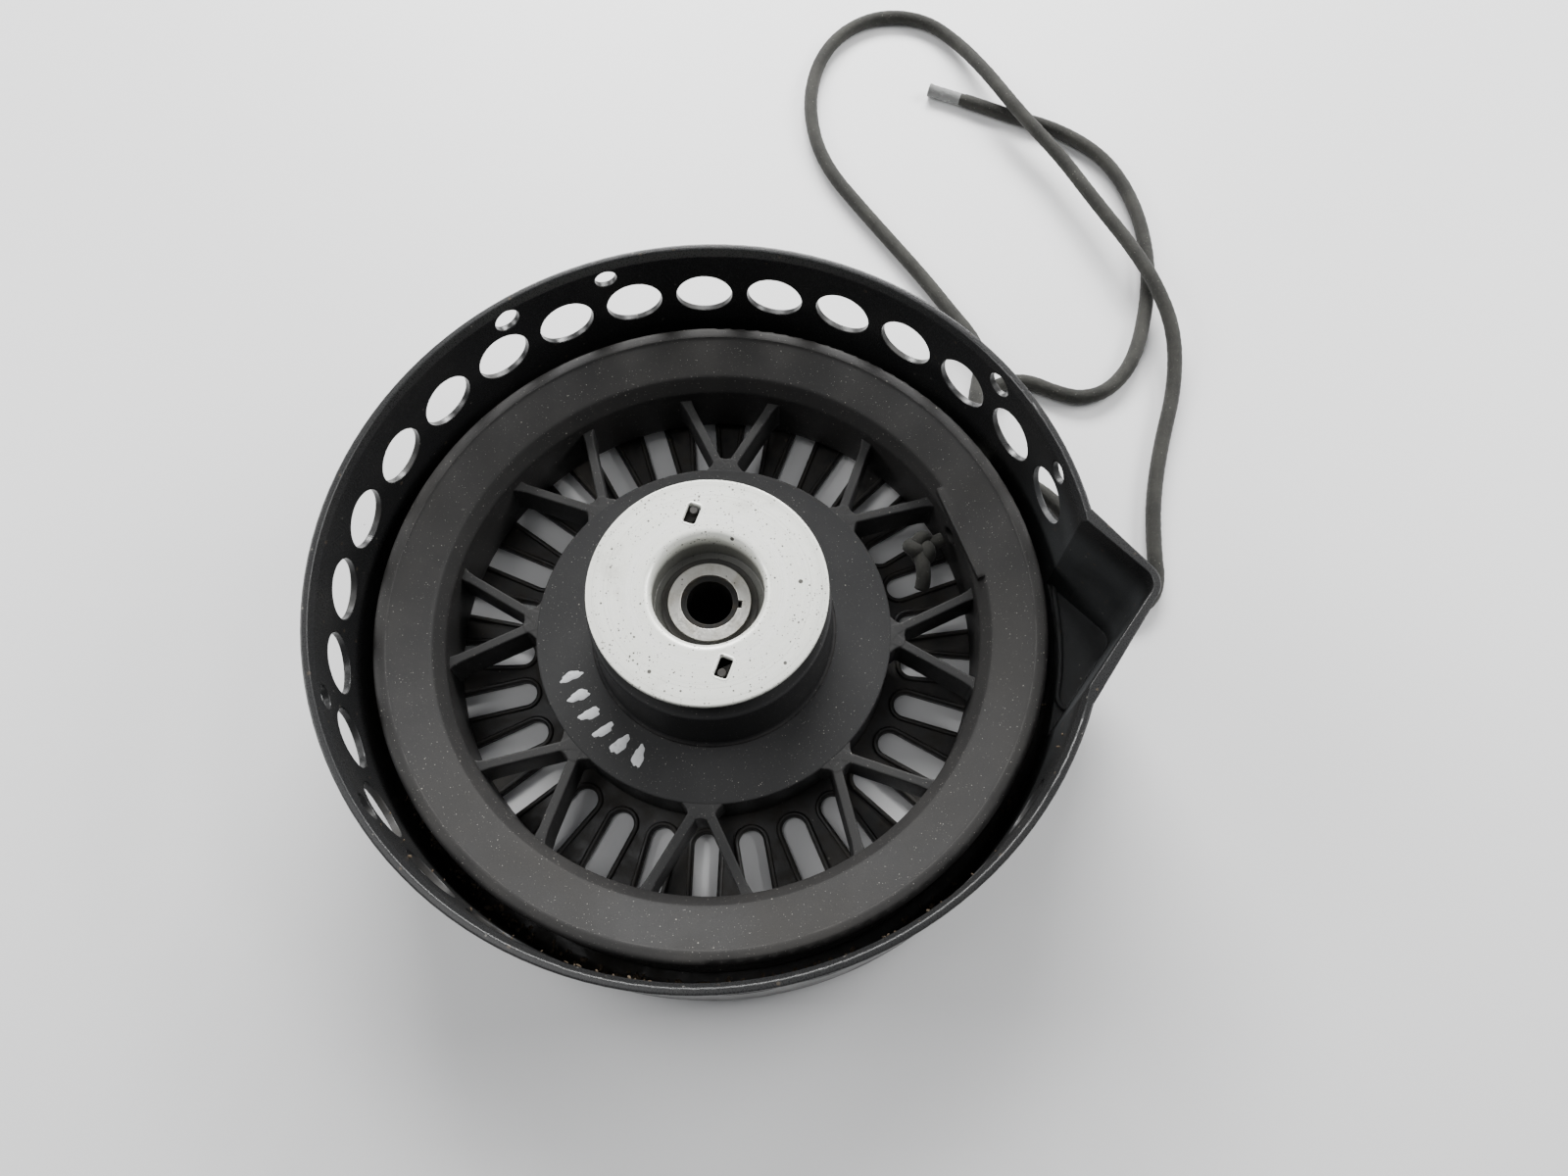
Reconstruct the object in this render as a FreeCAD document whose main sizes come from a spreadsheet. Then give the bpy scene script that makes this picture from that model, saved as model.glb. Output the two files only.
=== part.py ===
"""Recoil starter for a small engine, lying on its outer face with its open side up.

The origin is on the reel's axis at the underside of the drum's floor, and +Z points out of the open side.
The corner pocket lies near +X. Every size is in millimetres and every angle in degrees.
"""
import FreeCAD, Part
import math
import os
import re
import Sketcher
from FreeCAD import Placement, Rotation, Vector

doc = FreeCAD.newDocument("recoil_starter")
sheet = doc.addObject("Spreadsheet::Sheet", "Sizes")

# ---------------------------------------------------------------- driving dimensions
SIZES = {
    # pressed steel drum
    "wall_outer": 102.3,
    "sheet_steel": 1.8,
    "floor_bend": 5.0,
    "rim_outer": 103.3,
    "rim_top": 64.6,
    "rim_flare": 2.6,
    "rim_lip": 1.4,
    "floor_hole_radius": 10.0,
    "floor_slot_count": 29,
    "floor_slot_first": 7.5,
    "floor_slot_start": 60.0,
    "floor_slot_end": 88.0,
    "floor_slot_radius": 3.6,
    "vent_count": 26,
    "vent_pitch": 12.28,
    "vent_first": 18.5,
    "vent_height": 44.4,
    "vent_radius": 8.5,
    "screw_hole_height": 58.4,
    "screw_hole_radius": 3.3,
    "dowel_hole_radius": 3.9,
    "screw_pair_first": 27.3,
    "screw_pair_pitch": 90.0,
    "screw_pair_half": 8.9,
    # corner pocket
    "pocket_start": 9.8,
    "pocket_end": 19.9,
    "pocket_corner_x": 119.2,
    "pocket_corner_y": 2.5,
    "pocket_shelf": 16.6,
    "corner_mitre": 1.26,
    "corner_bend": 6.5,
    # hollow post, its washer and ring
    "post_radius": 8.0,
    "post_bore": 6.4,
    "post_top": 42.0,
    "post_foot_top": 3.4,
    "collar_inner": 15.4,
    "collar_outer": 16.2,
    "collar_top": 17.2,
    "washer_radius": 12.0,
    "washer_top": 4.5,
    "ring_bottom": 41.6,
    "ring_top": 42.9,
    "ring_radius": 11.45,
    "ring_notch": 2.2,
    # moulded rope reel
    "bush_bore": 8.05,
    "bush_radius": 11.1,
    "reel_bottom": 5.5,
    "hub_bottom": 4.7,
    "hub_wall": 15.0,
    "spring_room": 48.5,
    "hub_radius": 51.9,
    "hub_top": 21.7,
    "hub_thick": 3.0,
    "boss_radius": 34.6,
    "boss_draft": 0.8,
    "boss_foot": 1.2,
    "boss_top": 44.0,
    "boss_recess_radius": 20.0,
    "boss_recess_floor": 34.0,
    "ring_inner": 77.0,
    "drum_radius": 80.0,
    "flange_radius": 95.0,
    "flange_top": 34.8,
    "flange_edge": 3.2,
    "flange_root": 30.0,
    "flange_step": 3.7,
    "flange_step_drop": 0.3,
    "flange_bevel": 4.5,
    "flange_sheet": 2.6,
    "lower_flange_top": 7.6,
    "spoke_count": 8,
    "spoke_first": -2.4,
    "spoke_root": 50.2,
    "spoke_lean": 28.3,
    "spoke_length": 30.9,
    "spoke_width": 2.8,
    "spoke_bottom": 9.0,
    "tab_first": 9.0,
    "tab_last": 32.0,
    "tab_reach": 76.3,
    "tab_thick": 2.4,
    # rope
    "rope_radius": 2.5,
    "rope_height": 10.6,
    "rope_pitch": 5.2,
    "rope_turns": 3,
    "wound_radius": 82.6,
    "rope_heading": 90.5,
    "rope_exit_height": 15.8,
    "rope_run_start": 30.5,
    "guide_start": 54.5,
    "guide_end": 68.0,
    "guide_radius": 5.0,
    "guide_bore": 3.2,
    "knot_angle": 23.0,
    "knot_height": 20.0,
    "knot_hole_radius": 2.9,
    "knot_reach": 69.0,
    "knot_radius": 5.2,
    # rewind spring and its keeper
    "spring_inner": 16.7,
    "spring_growth": 2.18,
    "spring_coils": 12.0,
    "spring_strip": 0.8,
    "spring_bottom": 6.2,
    "spring_width": 11.0,
    "anchor_radius": 1.5,
    "anchor_place": 46.7,
    "cover_top": 4.9,
    "cover_thick": 0.9,
    "cover_bore": 18.0,
    "cover_radius": 51.6,
    "lug_width": 6.4,
    "lug_inner": 44.4,
    "cover_screw_place": 47.4,
    "cover_screw_radius": 1.3,
    "cover_screw_length": 9.0,
    # friction plate and pawls
    "plate_radius": 32.7,
    "plate_top": 52.7,
    "plate_sheet": 1.5,
    "dish_inner": 15.4,
    "dish_floor": 41.0,
    "dish_bore": 8.6,
    "dish_roll": 2.2,
    "slot_place": 22.6,
    "slot_angle": 102.2,
    "slot_width": 3.7,
    "slot_length": 5.8,
    "slot_lean": -31.7,
    "pawl_bottom": 45.2,
    "pawl_top": 49.9,
    "pawl_pin_radius": 1.8,
    "pawl_pin_foot": 38.0,
    "pawl_pin_top": 50.6,
    "pawl_bore": 1.85,
    "pawl_out": 24.3,
    "pawl_ahead": 6.3,
    "peg_radius": 1.1,
    "peg_out": -0.5,
    "peg_ahead": -7.0,
    "peg_top": 52.3,
    "hairpin_wire": 0.45,
    "hairpin_radius": 2.9,
    "brake_sheet": 1.0,
    "brake_foot_radius": 12.0,
    "brake_top_radius": 15.6,
    "brake_bottom": 34.1,
    "brake_top": 39.2,
    "friction_washer_radius": 13.4,
}
for row, (alias, size) in enumerate(SIZES.items(), start=1):
    sheet.set(f"A{row}", alias)
    sheet.set(f"B{row}", str(size))
    sheet.setAlias(f"B{row}", alias)
doc.recompute()


# ---------------------------------------------------------------- helpers
def bound(text):
    """Turn the aliases in a formula into references to the sheet."""
    return re.sub(r"[a-z]+(?:_[a-z]+)+", lambda found: "Sizes." + found.group(0), str(text))


def value(text):
    """The number that a formula gives now."""
    return float(getattr(result := sheet.evalExpression(bound(text)), "Value", result))


def polar(radius, angle):
    """Formulas of a point at a radius and an angle in degrees."""
    return f"({radius}) * cos(({angle}) * 1 deg)", f"({radius}) * sin(({angle}) * 1 deg)"


def bind(thing, **formulas):
    """Bind properties of an object to formulas; a double underscore stands for a dot."""
    for name, text in formulas.items():
        thing.setExpression(name.replace("__", "."), bound(text))


def new_body(label):
    body = doc.addObject("PartDesign::Body", label)
    body.Label = label
    return body


def origin_feature(body, role):
    return next(feature for feature in body.Origin.OriginFeatures if feature.Role == role)


def new_sketch(body, name, role, base=("0", "0", "0"), turn="0"):
    """An empty sketch on one of the body's origin planes, moved and turned in that plane."""
    sketch = body.newObject("Sketcher::SketchObject", name)
    sketch.AttachmentSupport = [(origin_feature(body, role), "")]
    sketch.MapMode = "FlatFace"
    for axis, text in zip("xyz", base):
        sketch.setExpression(f"AttachmentOffset.Base.{axis}", bound(text))
    sketch.setExpression("AttachmentOffset.Rotation.Angle", bound(f"({turn}) * 1 deg"))
    return sketch


def fix_point(sketch, index, position, x, y):
    """Hold a sketch point at the formulas x and y."""
    for kind, text in (("DistanceX", x), ("DistanceY", y)):
        size = value(text)
        if abs(size) < 1e-9:
            axis = -2 if kind == "DistanceX" else -1
            sketch.addConstraint(Sketcher.Constraint("PointOnObject", index, position, axis))
            continue
        ends = (-1, 1, index, position) if size > 0 else (index, position, -1, 1)
        number = sketch.addConstraint(Sketcher.Constraint(kind, *ends, abs(size)))
        sketch.setExpression(f"Constraints[{number}]", bound(text if size > 0 else f"-({text})"))


def draw_outline(sketch, points):
    """A closed outline of straight lines through points given as pairs of formulas."""
    corners = [Vector(value(x), value(y), 0) for x, y in points]
    count = len(corners)
    for index in range(count):
        sketch.addGeometry(Part.LineSegment(corners[index], corners[(index + 1) % count]), False)
    for index in range(count):
        sketch.addConstraint(Sketcher.Constraint("Coincident", index, 2, (index + 1) % count, 1))
    for index, (x, y) in enumerate(points):
        fix_point(sketch, index, 1, x, y)


def draw_slot(sketch, start, end, radius):
    """A round-ended slot along the sketch's X axis; start and end are its arcs' centres."""
    left, right, size = value(start), value(end), value(radius)
    up = Vector(0, 0, 1)
    sketch.addGeometry(
        Part.ArcOfCircle(Part.Circle(Vector(left, 0, 0), up, size), math.pi / 2, 3 * math.pi / 2),
        False,
    )
    sketch.addGeometry(
        Part.ArcOfCircle(Part.Circle(Vector(right, 0, 0), up, size), -math.pi / 2, math.pi / 2),
        False,
    )
    sketch.addGeometry(Part.LineSegment(Vector(left, -size, 0), Vector(right, -size, 0)), False)
    sketch.addGeometry(Part.LineSegment(Vector(right, size, 0), Vector(left, size, 0)), False)
    for first, end_one, second, end_two in ((0, 2, 2, 1), (2, 2, 1, 1), (1, 2, 3, 1), (3, 2, 0, 1)):
        sketch.addConstraint(Sketcher.Constraint("Tangent", first, end_one, second, end_two))
    fix_point(sketch, 0, 3, start, "0")
    fix_point(sketch, 1, 3, end, "0")
    number = sketch.addConstraint(Sketcher.Constraint("Radius", 0, size))
    sketch.setExpression(f"Constraints[{number}]", bound(radius))


def revolve(body, name, points, kind="PartDesign::Revolution"):
    """Turn an outline of (radius, height) formulas about the Z axis."""
    sketch = new_sketch(body, name + "_sketch", "XZ_Plane")
    draw_outline(sketch, points)
    feature = body.newObject(kind, name)
    feature.Profile = sketch
    feature.ReferenceAxis = (sketch, ["V_Axis"])
    feature.Angle = 360
    return feature


def pad(body, name, points, low, high, base=("0", "0"), turn="0"):
    """Raise an outline from the height low to the height high."""
    sketch = new_sketch(body, name + "_sketch", "XY_Plane", (*base, low), turn)
    draw_outline(sketch, points)
    feature = body.newObject("PartDesign::Pad", name)
    feature.Profile = sketch
    bind(feature, Length=f"({high}) - ({low})")
    return feature


def pocket(body, name, sketch, depth):
    """Cut downwards from a sketch."""
    feature = body.newObject("PartDesign::Pocket", name)
    feature.Profile = sketch
    bind(feature, Length=depth)
    return feature


def drill(body, name, radius, length, place):
    """A round hole: a cylinder from a point along a direction, taken away."""
    feature = body.newObject("PartDesign::SubtractiveCylinder", name)
    bind(feature, Radius=radius, Height=length)
    feature.Placement = place
    return feature


def repeat(body, name, features, count, angle):
    """Copies of features round the Z axis, one step apart."""
    feature = body.newObject("PartDesign::PolarPattern", name)
    feature.Originals = features
    feature.Axis = (origin_feature(body, "Z_Axis"), [""])
    bind(feature, Occurrences=count, Angle=angle)
    body.Tip = feature
    return feature


def round_edges(body, name, radius, chosen):
    """Round the edges of the body whose middle point and length pass the test."""
    doc.recompute()
    tip = body.Tip
    names = []
    for number, edge in enumerate(tip.Shape.Edges, start=1):
        middle = edge.valueAt((edge.FirstParameter + edge.LastParameter) / 2)
        if chosen(edge, middle):
            names.append(f"Edge{number}")
    assert names, name
    feature = body.newObject("PartDesign::Fillet", name)
    feature.Base = (tip, names)
    bind(feature, Radius=radius)
    return feature


def radial(angle, height, start):
    """A placement whose Z axis points outwards at an angle round the axis."""
    turn = Rotation(Vector(0, 0, 1), angle) * Rotation(Vector(0, 1, 0), 90)
    return Placement(Vector(*(start * part for part in direction(angle)), height), turn)


def direction(angle):
    return math.cos(math.radians(angle)), math.sin(math.radians(angle))


def washer(label, inner, outer, low, high):
    """A flat ring round the Z axis."""
    body = new_body(label)
    revolve(body, label + "_ring", [(inner, low), (outer, low), (outer, high), (inner, high)])
    return body


def round_bar(label, radius, length, place):
    """A plain cylinder along the Z axis of its placement."""
    bar = doc.addObject("Part::Cylinder", label)
    bind(bar, Radius=radius, Height=length)
    bar.Placement = place
    return bar


def joined(label, pieces):
    """Separate pieces of one node, kept as separate solids."""
    group = doc.addObject("Part::Compound", label)
    group.Links = pieces
    return group


def fused(label, pieces):
    union = doc.addObject("Part::MultiFuse", label)
    union.Shapes = pieces
    return union


def is_circle(edge, radius, height=None):
    """True for a full or part circle about the Z axis of a given radius and height."""
    if edge.Curve.TypeId != "Part::GeomCircle" or abs(edge.Curve.Radius - radius) > 0.02:
        return False
    centre = edge.Curve.Center
    return math.hypot(centre.x, centre.y) < 0.02 and (height is None or abs(centre.z - height) < 0.02)


nodes = []

# ---------------------------------------------------------------- pressed steel drum
wall_inner = "(wall_outer - sheet_steel)"
floor = new_body("drum_floor")
nodes.append(floor)
revolve(
    floor,
    "floor_pan",
    [
        ("floor_hole_radius", "0"),
        ("wall_outer", "0"),
        ("wall_outer", "floor_bend"),
        (wall_inner, "floor_bend"),
        (wall_inner, "sheet_steel"),
        ("floor_hole_radius", "sheet_steel"),
    ],
)
round_edges(
    floor,
    "floor_bend_outside",
    "floor_bend * 0.999",
    lambda edge, mid: is_circle(edge, value("wall_outer"), 0),
)
round_edges(
    floor,
    "floor_bend_inside",
    "(floor_bend - sheet_steel) * 0.999",
    lambda edge, mid: is_circle(edge, value(wall_inner), value("sheet_steel")),
)
slot_sketch = new_sketch(
    floor,
    "floor_slot_sketch",
    "XY_Plane",
    ("0", "0", "sheet_steel"),
    "floor_slot_first",
)
draw_slot(slot_sketch, "floor_slot_start", "floor_slot_end", "floor_slot_radius")
floor_slot = pocket(floor, "floor_slot", slot_sketch, "sheet_steel")
repeat(floor, "floor_slots", [floor_slot], "floor_slot_count", "360 - 360 / floor_slot_count")

# The wall stands on the floor's bend.
shell = new_body("drum_wall")
nodes.append(shell)
revolve(
    shell,
    "wall",
    [
        (wall_inner, "floor_bend"),
        ("wall_outer", "floor_bend"),
        ("wall_outer", "rim_top - rim_flare"),
        ("rim_outer", "rim_top - rim_lip"),
        ("rim_outer", "rim_top"),
        (f"{wall_inner} + rim_outer - wall_outer", "rim_top"),
        (wall_inner, "rim_top - rim_flare"),
    ],
)
round_edges(
    shell,
    "rim_edge",
    "rim_lip / 3",
    lambda edge, mid: abs(mid.z - value("rim_top")) < 0.01,
)

# The corner pocket: two faces pushed out of the wall, over a shelf.
corner = ("pocket_corner_x", "-pocket_corner_y")
mid_wall = "(wall_outer - sheet_steel / 2)"
pocket_outline = [polar("rim_outer", "-pocket_end"), corner, polar("rim_outer", "pocket_start")]
pocket_outline += [
    polar(mid_wall, f"pocket_start - (pocket_start + pocket_end) * {step} / 4") for step in range(5)
]
pad(shell, "pocket_outside", pocket_outline, "pocket_shelf", "rim_top")


def at_corner(edge, middle, inset):
    """True for the upright edge at the pocket's corner."""
    near = math.hypot(middle.x - value("pocket_corner_x") + inset, middle.y + value("pocket_corner_y"))
    return near < 0.4 and edge.BoundBox.ZLength > 10


round_edges(shell, "corner_outside", "corner_bend", lambda edge, mid: at_corner(edge, mid, 0))
mitre = "sheet_steel * corner_mitre"
cut_edge = "(wall_outer - 4 * sheet_steel)"
inset = "(sheet_steel / wall_outer) * 57"
pocket_inside = new_sketch(shell, "pocket_inside_sketch", "XY_Plane", ("0", "0", "rim_top + sheet_steel"))
draw_outline(
    pocket_inside,
    [
        polar(cut_edge, f"{inset} - pocket_end"),
        polar(wall_inner, f"{inset} - pocket_end"),
        (f"pocket_corner_x - {mitre}", "-pocket_corner_y"),
        polar(wall_inner, f"pocket_start - {inset}"),
        polar(cut_edge, f"pocket_start - {inset}"),
    ],
)
pocket(shell, "pocket_inside", pocket_inside, "rim_top - pocket_shelf")
round_edges(
    shell,
    "corner_inside",
    "corner_bend - sheet_steel",
    lambda edge, mid: at_corner(edge, mid, value(mitre)),
)
round_edges(
    shell,
    "shelf_edge",
    "sheet_steel / 3",
    lambda edge, mid: abs(mid.z - value("pocket_shelf + sheet_steel")) < 0.01
    and math.hypot(mid.x, mid.y) < value("wall_outer") - 0.4,
)

vent = drill(
    shell,
    "vent",
    "vent_radius",
    "sheet_steel * 4",
    radial(value("vent_first"), value("vent_height"), value("wall_outer - sheet_steel * 3")),
)
repeat(shell, "vents", [vent], "vent_count", "vent_pitch * (vent_count - 1)")
for name, radius, side in (("screw_hole", "screw_hole_radius", -1), ("dowel_hole", "dowel_hole_radius", 1)):
    angle = value(f"screw_pair_first + ({side}) * screw_pair_half")
    start = value("wall_outer - sheet_steel * 3")
    place = radial(angle, value("screw_hole_height"), start)
    hole = drill(shell, name, radius, "sheet_steel * 4", place)
    repeat(shell, f"{name}s", [hole], "4", "270")

# The rope leaves the reel on a straight line that just touches the wound rope.
heading = value("rope_heading")
ahead = Vector(*direction(heading), 0)
touch = Vector(*direction(heading - 90), 0) * value("wound_radius") + Vector(0, 0, value("rope_exit_height"))
upright = Rotation(Vector(0, 0, 1), ahead)


def on_rope_line(distance):
    """A placement on the line of the leaving rope, with its Z axis along the rope."""
    return Placement(touch + ahead * distance, upright)


drill(shell, "rope_outlet", "guide_radius", "guide_end - guide_start", on_rope_line(value("guide_start")))
doc.recompute()
shell.Tip = shell.Group[-1]

# ---------------------------------------------------------------- post, washer, ring and rope guide
post = new_body("centre_post")
nodes.append(post)
revolve(
    post,
    "post",
    [
        ("post_bore", "0"),
        ("floor_hole_radius", "0"),
        ("floor_hole_radius", "sheet_steel"),
        ("collar_outer", "sheet_steel"),
        ("collar_outer", "collar_top"),
        ("collar_inner", "collar_top"),
        ("collar_inner", "post_foot_top"),
        ("post_radius", "post_foot_top"),
        ("post_radius", "post_top"),
        ("post_bore", "post_top"),
    ],
)
nodes.append(washer("thrust_washer", "bush_bore", "washer_radius", "post_foot_top", "washer_top"))

ring = washer("retaining_ring", "post_radius", "ring_radius", "ring_bottom", "ring_top")
nodes.append(ring)
notch_sketch = new_sketch(ring, "notch_sketch", "XY_Plane", ("0", "0", "ring_top + ring_notch"), "-5")
draw_outline(
    notch_sketch,
    [
        ("post_bore", "-ring_notch / 2"),
        ("post_radius + ring_notch / 2", "-ring_notch / 2"),
        ("post_radius + ring_notch / 2", "ring_notch / 2"),
        ("post_bore", "ring_notch / 2"),
    ],
)
pocket(ring, "notch", notch_sketch, "2 * ring_notch + ring_top - ring_bottom")

guide_tube = round_bar(
    "guide_tube",
    "guide_radius",
    "guide_end - guide_start",
    on_rope_line(value("guide_start")),
)
guide_hole = round_bar(
    "guide_hole",
    "guide_bore",
    "guide_end - guide_start",
    on_rope_line(value("guide_start")),
)
guide = doc.addObject("Part::Cut", "rope_guide")
guide.Base = guide_tube
guide.Tool = guide_hole
nodes.append(guide)

# ---------------------------------------------------------------- moulded rope reel
rim = new_body("reel_rim")
nodes.append(rim)
revolve(
    rim,
    "rope_drum",
    [
        ("ring_inner", "reel_bottom"),
        ("flange_radius", "reel_bottom"),
        ("flange_radius", "lower_flange_top"),
        ("drum_radius", "lower_flange_top"),
        ("drum_radius", "flange_root - flange_sheet"),
        ("flange_radius", "flange_top - flange_edge"),
        ("flange_radius", "flange_top"),
        ("flange_radius - flange_step", "flange_top"),
        ("flange_radius - flange_step", "flange_top - flange_step_drop"),
        ("drum_radius", "flange_root"),
        ("ring_inner", "flange_root - flange_bevel"),
    ],
)

# The spokes are bars in pairs that spread from the hub's edge and end inside the rope drum.
spokes = []
for number in range(int(value("spoke_count"))):
    for side in (-1, 1):
        bar = doc.addObject("Part::Box", f"spoke_{number}_{'left' if side > 0 else 'right'}")
        bind(bar, Length="spoke_length", Width="spoke_width", Height="hub_top - spoke_bottom")
        node_angle = value(f"spoke_first + 360 / spoke_count * {number}")
        along = Rotation(Vector(0, 0, 1), node_angle + side * value("spoke_lean"))
        x, y = (value("spoke_root") * part for part in direction(node_angle))
        corner_place = Vector(x, y, value("spoke_bottom")) - along.multVec(
            Vector(0, value("spoke_width") / 2, 0),
        )
        bar.Placement = Placement(corner_place, along)
        spokes.append(bar)
nodes.append(joined("reel_spokes", spokes))

reel = new_body("reel_hub")
nodes.append(reel)
revolve(
    reel,
    "hub",
    [
        ("bush_radius", "hub_bottom"),
        ("hub_wall", "hub_bottom"),
        ("hub_wall", "hub_top - hub_thick"),
        ("spring_room", "hub_top - hub_thick"),
        ("spring_room", "cover_top"),
        ("hub_radius", "cover_top"),
        ("hub_radius", "hub_top"),
        ("bush_radius", "hub_top"),
    ],
)
round_edges(
    reel,
    "hub_edge",
    "hub_thick / 8",
    lambda edge,
    mid: is_circle(edge, value("hub_radius"), value("hub_top")),
)
boss = new_body("reel_boss")
nodes.append(boss)
revolve(
    boss,
    "boss",
    [
        ("bush_radius", "hub_top"),
        ("boss_radius + boss_foot", "hub_top"),
        ("boss_radius + boss_foot / 3", "hub_top + boss_foot / 3"),
        ("boss_radius", "hub_top + boss_foot"),
        ("boss_radius - boss_draft", "boss_top"),
        ("boss_recess_radius", "boss_top"),
        ("boss_recess_radius", "boss_recess_floor"),
        ("bush_radius", "boss_recess_floor"),
    ],
)
tab_middle = "(tab_first + tab_last) / 2"
tab_half = "((tab_last - tab_first) / 2)"
tab_outline = [
    ("tab_reach", f"-ring_inner * sin({tab_half} * 1 deg)"),
    ("drum_radius + tab_thick", f"-ring_inner * sin({tab_half} * 1 deg)"),
    ("drum_radius + tab_thick", f"ring_inner * sin({tab_half} * 1 deg)"),
    ("tab_reach", f"ring_inner * sin({tab_half} * 1 deg)"),
]
pad(rim, "knot_tab", tab_outline, "flange_root - tab_thick", "flange_root", turn=tab_middle)
lug_outline = [
    ("lug_inner", "-lug_width / 2"),
    ("(spring_room + hub_radius) / 2", "-lug_width / 2"),
    ("(spring_room + hub_radius) / 2", "lug_width / 2"),
    ("lug_inner", "lug_width / 2"),
]
lug_angle = "spoke_first + 45 / 2"
lug = pad(reel, "screw_lug", lug_outline, "cover_top", "hub_top - hub_thick / 2", turn=lug_angle)
repeat(reel, "screw_lugs", [lug], "4", "270")
lug_way = direction(value(lug_angle))
screw_hole = drill(
    reel,
    "cover_screw_hole",
    "cover_screw_radius",
    "cover_screw_length - cover_thick",
    Placement(
        Vector(*(value("cover_screw_place") * part for part in lug_way), value("cover_top")),
        Rotation(),
    ),
)
repeat(reel, "cover_screw_holes", [screw_hole], "4", "270")
drill(
    rim,
    "knot_hole",
    "knot_hole_radius",
    "2 * (drum_radius - ring_inner)",
    radial(value("knot_angle"), value("knot_height"), value("ring_inner - 1")),
)
pin_angle = value("slot_angle") + math.degrees(math.atan2(value("pawl_ahead"), value("pawl_out")))
pin_place = math.hypot(value("pawl_out"), value("pawl_ahead"))
pin_hole = drill(
    boss,
    "pawl_pin_hole",
    "pawl_pin_radius",
    "2 * (boss_top - pawl_pin_foot)",
    Placement(
        Vector(*(pin_place * part for part in direction(pin_angle)), value("pawl_pin_foot")),
        Rotation(),
    ),
)
repeat(boss, "pawl_pin_holes", [pin_hole], "2", "180")
round_edges(
    rim,
    "flange_rounding",
    "flange_edge / 2.4",
    lambda edge, mid: is_circle(edge, value("flange_radius")) and mid.z > value("hub_top"),
)
round_edges(
    boss,
    "boss_edge",
    "hub_thick / 4",
    lambda edge, mid: is_circle(edge, value("boss_radius - boss_draft"), value("boss_top")),
)

nodes.append(washer("reel_bush", "bush_bore", "bush_radius", "hub_bottom", "boss_recess_floor"))

# ---------------------------------------------------------------- spring chamber
cover = washer("spring_cover", "cover_bore", "cover_radius", "cover_top - cover_thick", "cover_top")
nodes.append(cover)
cover_hole = drill(
    cover,
    "cover_hole",
    "cover_screw_radius",
    "4 * cover_thick",
    Placement(
        Vector(*(value("cover_screw_place") * part for part in lug_way), value("cover_thick")),
        Rotation(),
    ),
)
repeat(cover, "cover_holes", [cover_hole], "4", "270")

screws = []
for number in range(4):
    x, y = (value("cover_screw_place") * part for part in direction(value(lug_angle) + 90 * number))
    under_head = Vector(x, y, value("cover_top - cover_thick"))
    head_foot = under_head - Vector(0, 0, value("cover_thick"))
    shank = round_bar(
        f"shank_{number}",
        "cover_screw_radius",
        "cover_screw_length",
        Placement(under_head, Rotation()),
    )
    head = round_bar(
        f"head_{number}",
        "cover_screw_radius * 2",
        "cover_thick",
        Placement(head_foot, Rotation()),
    )
    screws.append(fused(f"screw_{number}", [shank, head]))
nodes.append(joined("cover_screws", screws))

anchor_x, anchor_y = (value("anchor_place") * part for part in direction(value("spoke_first")))
anchor_place = Placement(Vector(anchor_x, anchor_y, value("spring_bottom")), Rotation())
nodes.append(round_bar("spring_anchor", "anchor_radius", "hub_top - hub_thick - spring_bottom", anchor_place))

spiral = doc.addObject("Part::Spiral", "spring_spiral")
bind(spiral, Radius="spring_inner", Growth="spring_growth", Rotations="spring_coils")
spiral.Placement = Placement(Vector(0, 0, value("spring_bottom")), Rotation())
strip = doc.addObject("Part::Plane", "spring_strip_section")
bind(strip, Length="spring_strip", Width="spring_width")
strip.Placement = Placement(
    Vector(value("spring_inner - spring_strip / 2"), 0, value("spring_bottom")), Rotation(Vector(1, 0, 0), 90)
)
spring = doc.addObject("Part::Sweep", "recoil_spring")
spring.Sections = [strip]
spring.Spine = (spiral, [])
spring.Solid = True
spring.Frenet = True
nodes.append(spring)

# ---------------------------------------------------------------- rope
turns = []
for number in range(int(value("rope_turns"))):
    turn = doc.addObject("Part::Torus", f"rope_turn_{number}")
    bind(turn, Radius1="wound_radius", Radius2="rope_radius")
    turn.Placement = Placement(Vector(0, 0, value(f"rope_height + rope_pitch * {number}")), Rotation())
    turns.append(turn)
nodes.append(joined("wound_rope", turns))

knot_way = Vector(*direction(value("knot_angle")), 0)
knot_centre = knot_way * value("knot_reach") + Vector(0, 0, value("knot_height"))
knot_ball = doc.addObject("Part::Sphere", "knot_ball")
bind(knot_ball, Radius="knot_radius")
knot_ball.Placement = Placement(knot_centre, Rotation())
knot_neck = round_bar(
    "knot_neck",
    "rope_radius",
    "drum_radius - knot_reach",
    Placement(knot_centre, Rotation(Vector(0, 0, 1), knot_way)),
)
knot_tail = round_bar(
    "knot_tail",
    "rope_radius",
    "knot_radius * 3.2",
    Placement(knot_centre, Rotation(Vector(0, 0, 1), Vector(-7.4, -19.0, 1.0))),
)
nodes.append(fused("rope_knot", [knot_ball, knot_neck, knot_tail]))
nodes.append(
    round_bar("rope_run", "rope_radius", "guide_end - rope_run_start", on_rope_line(value("rope_run_start")))
)

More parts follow.
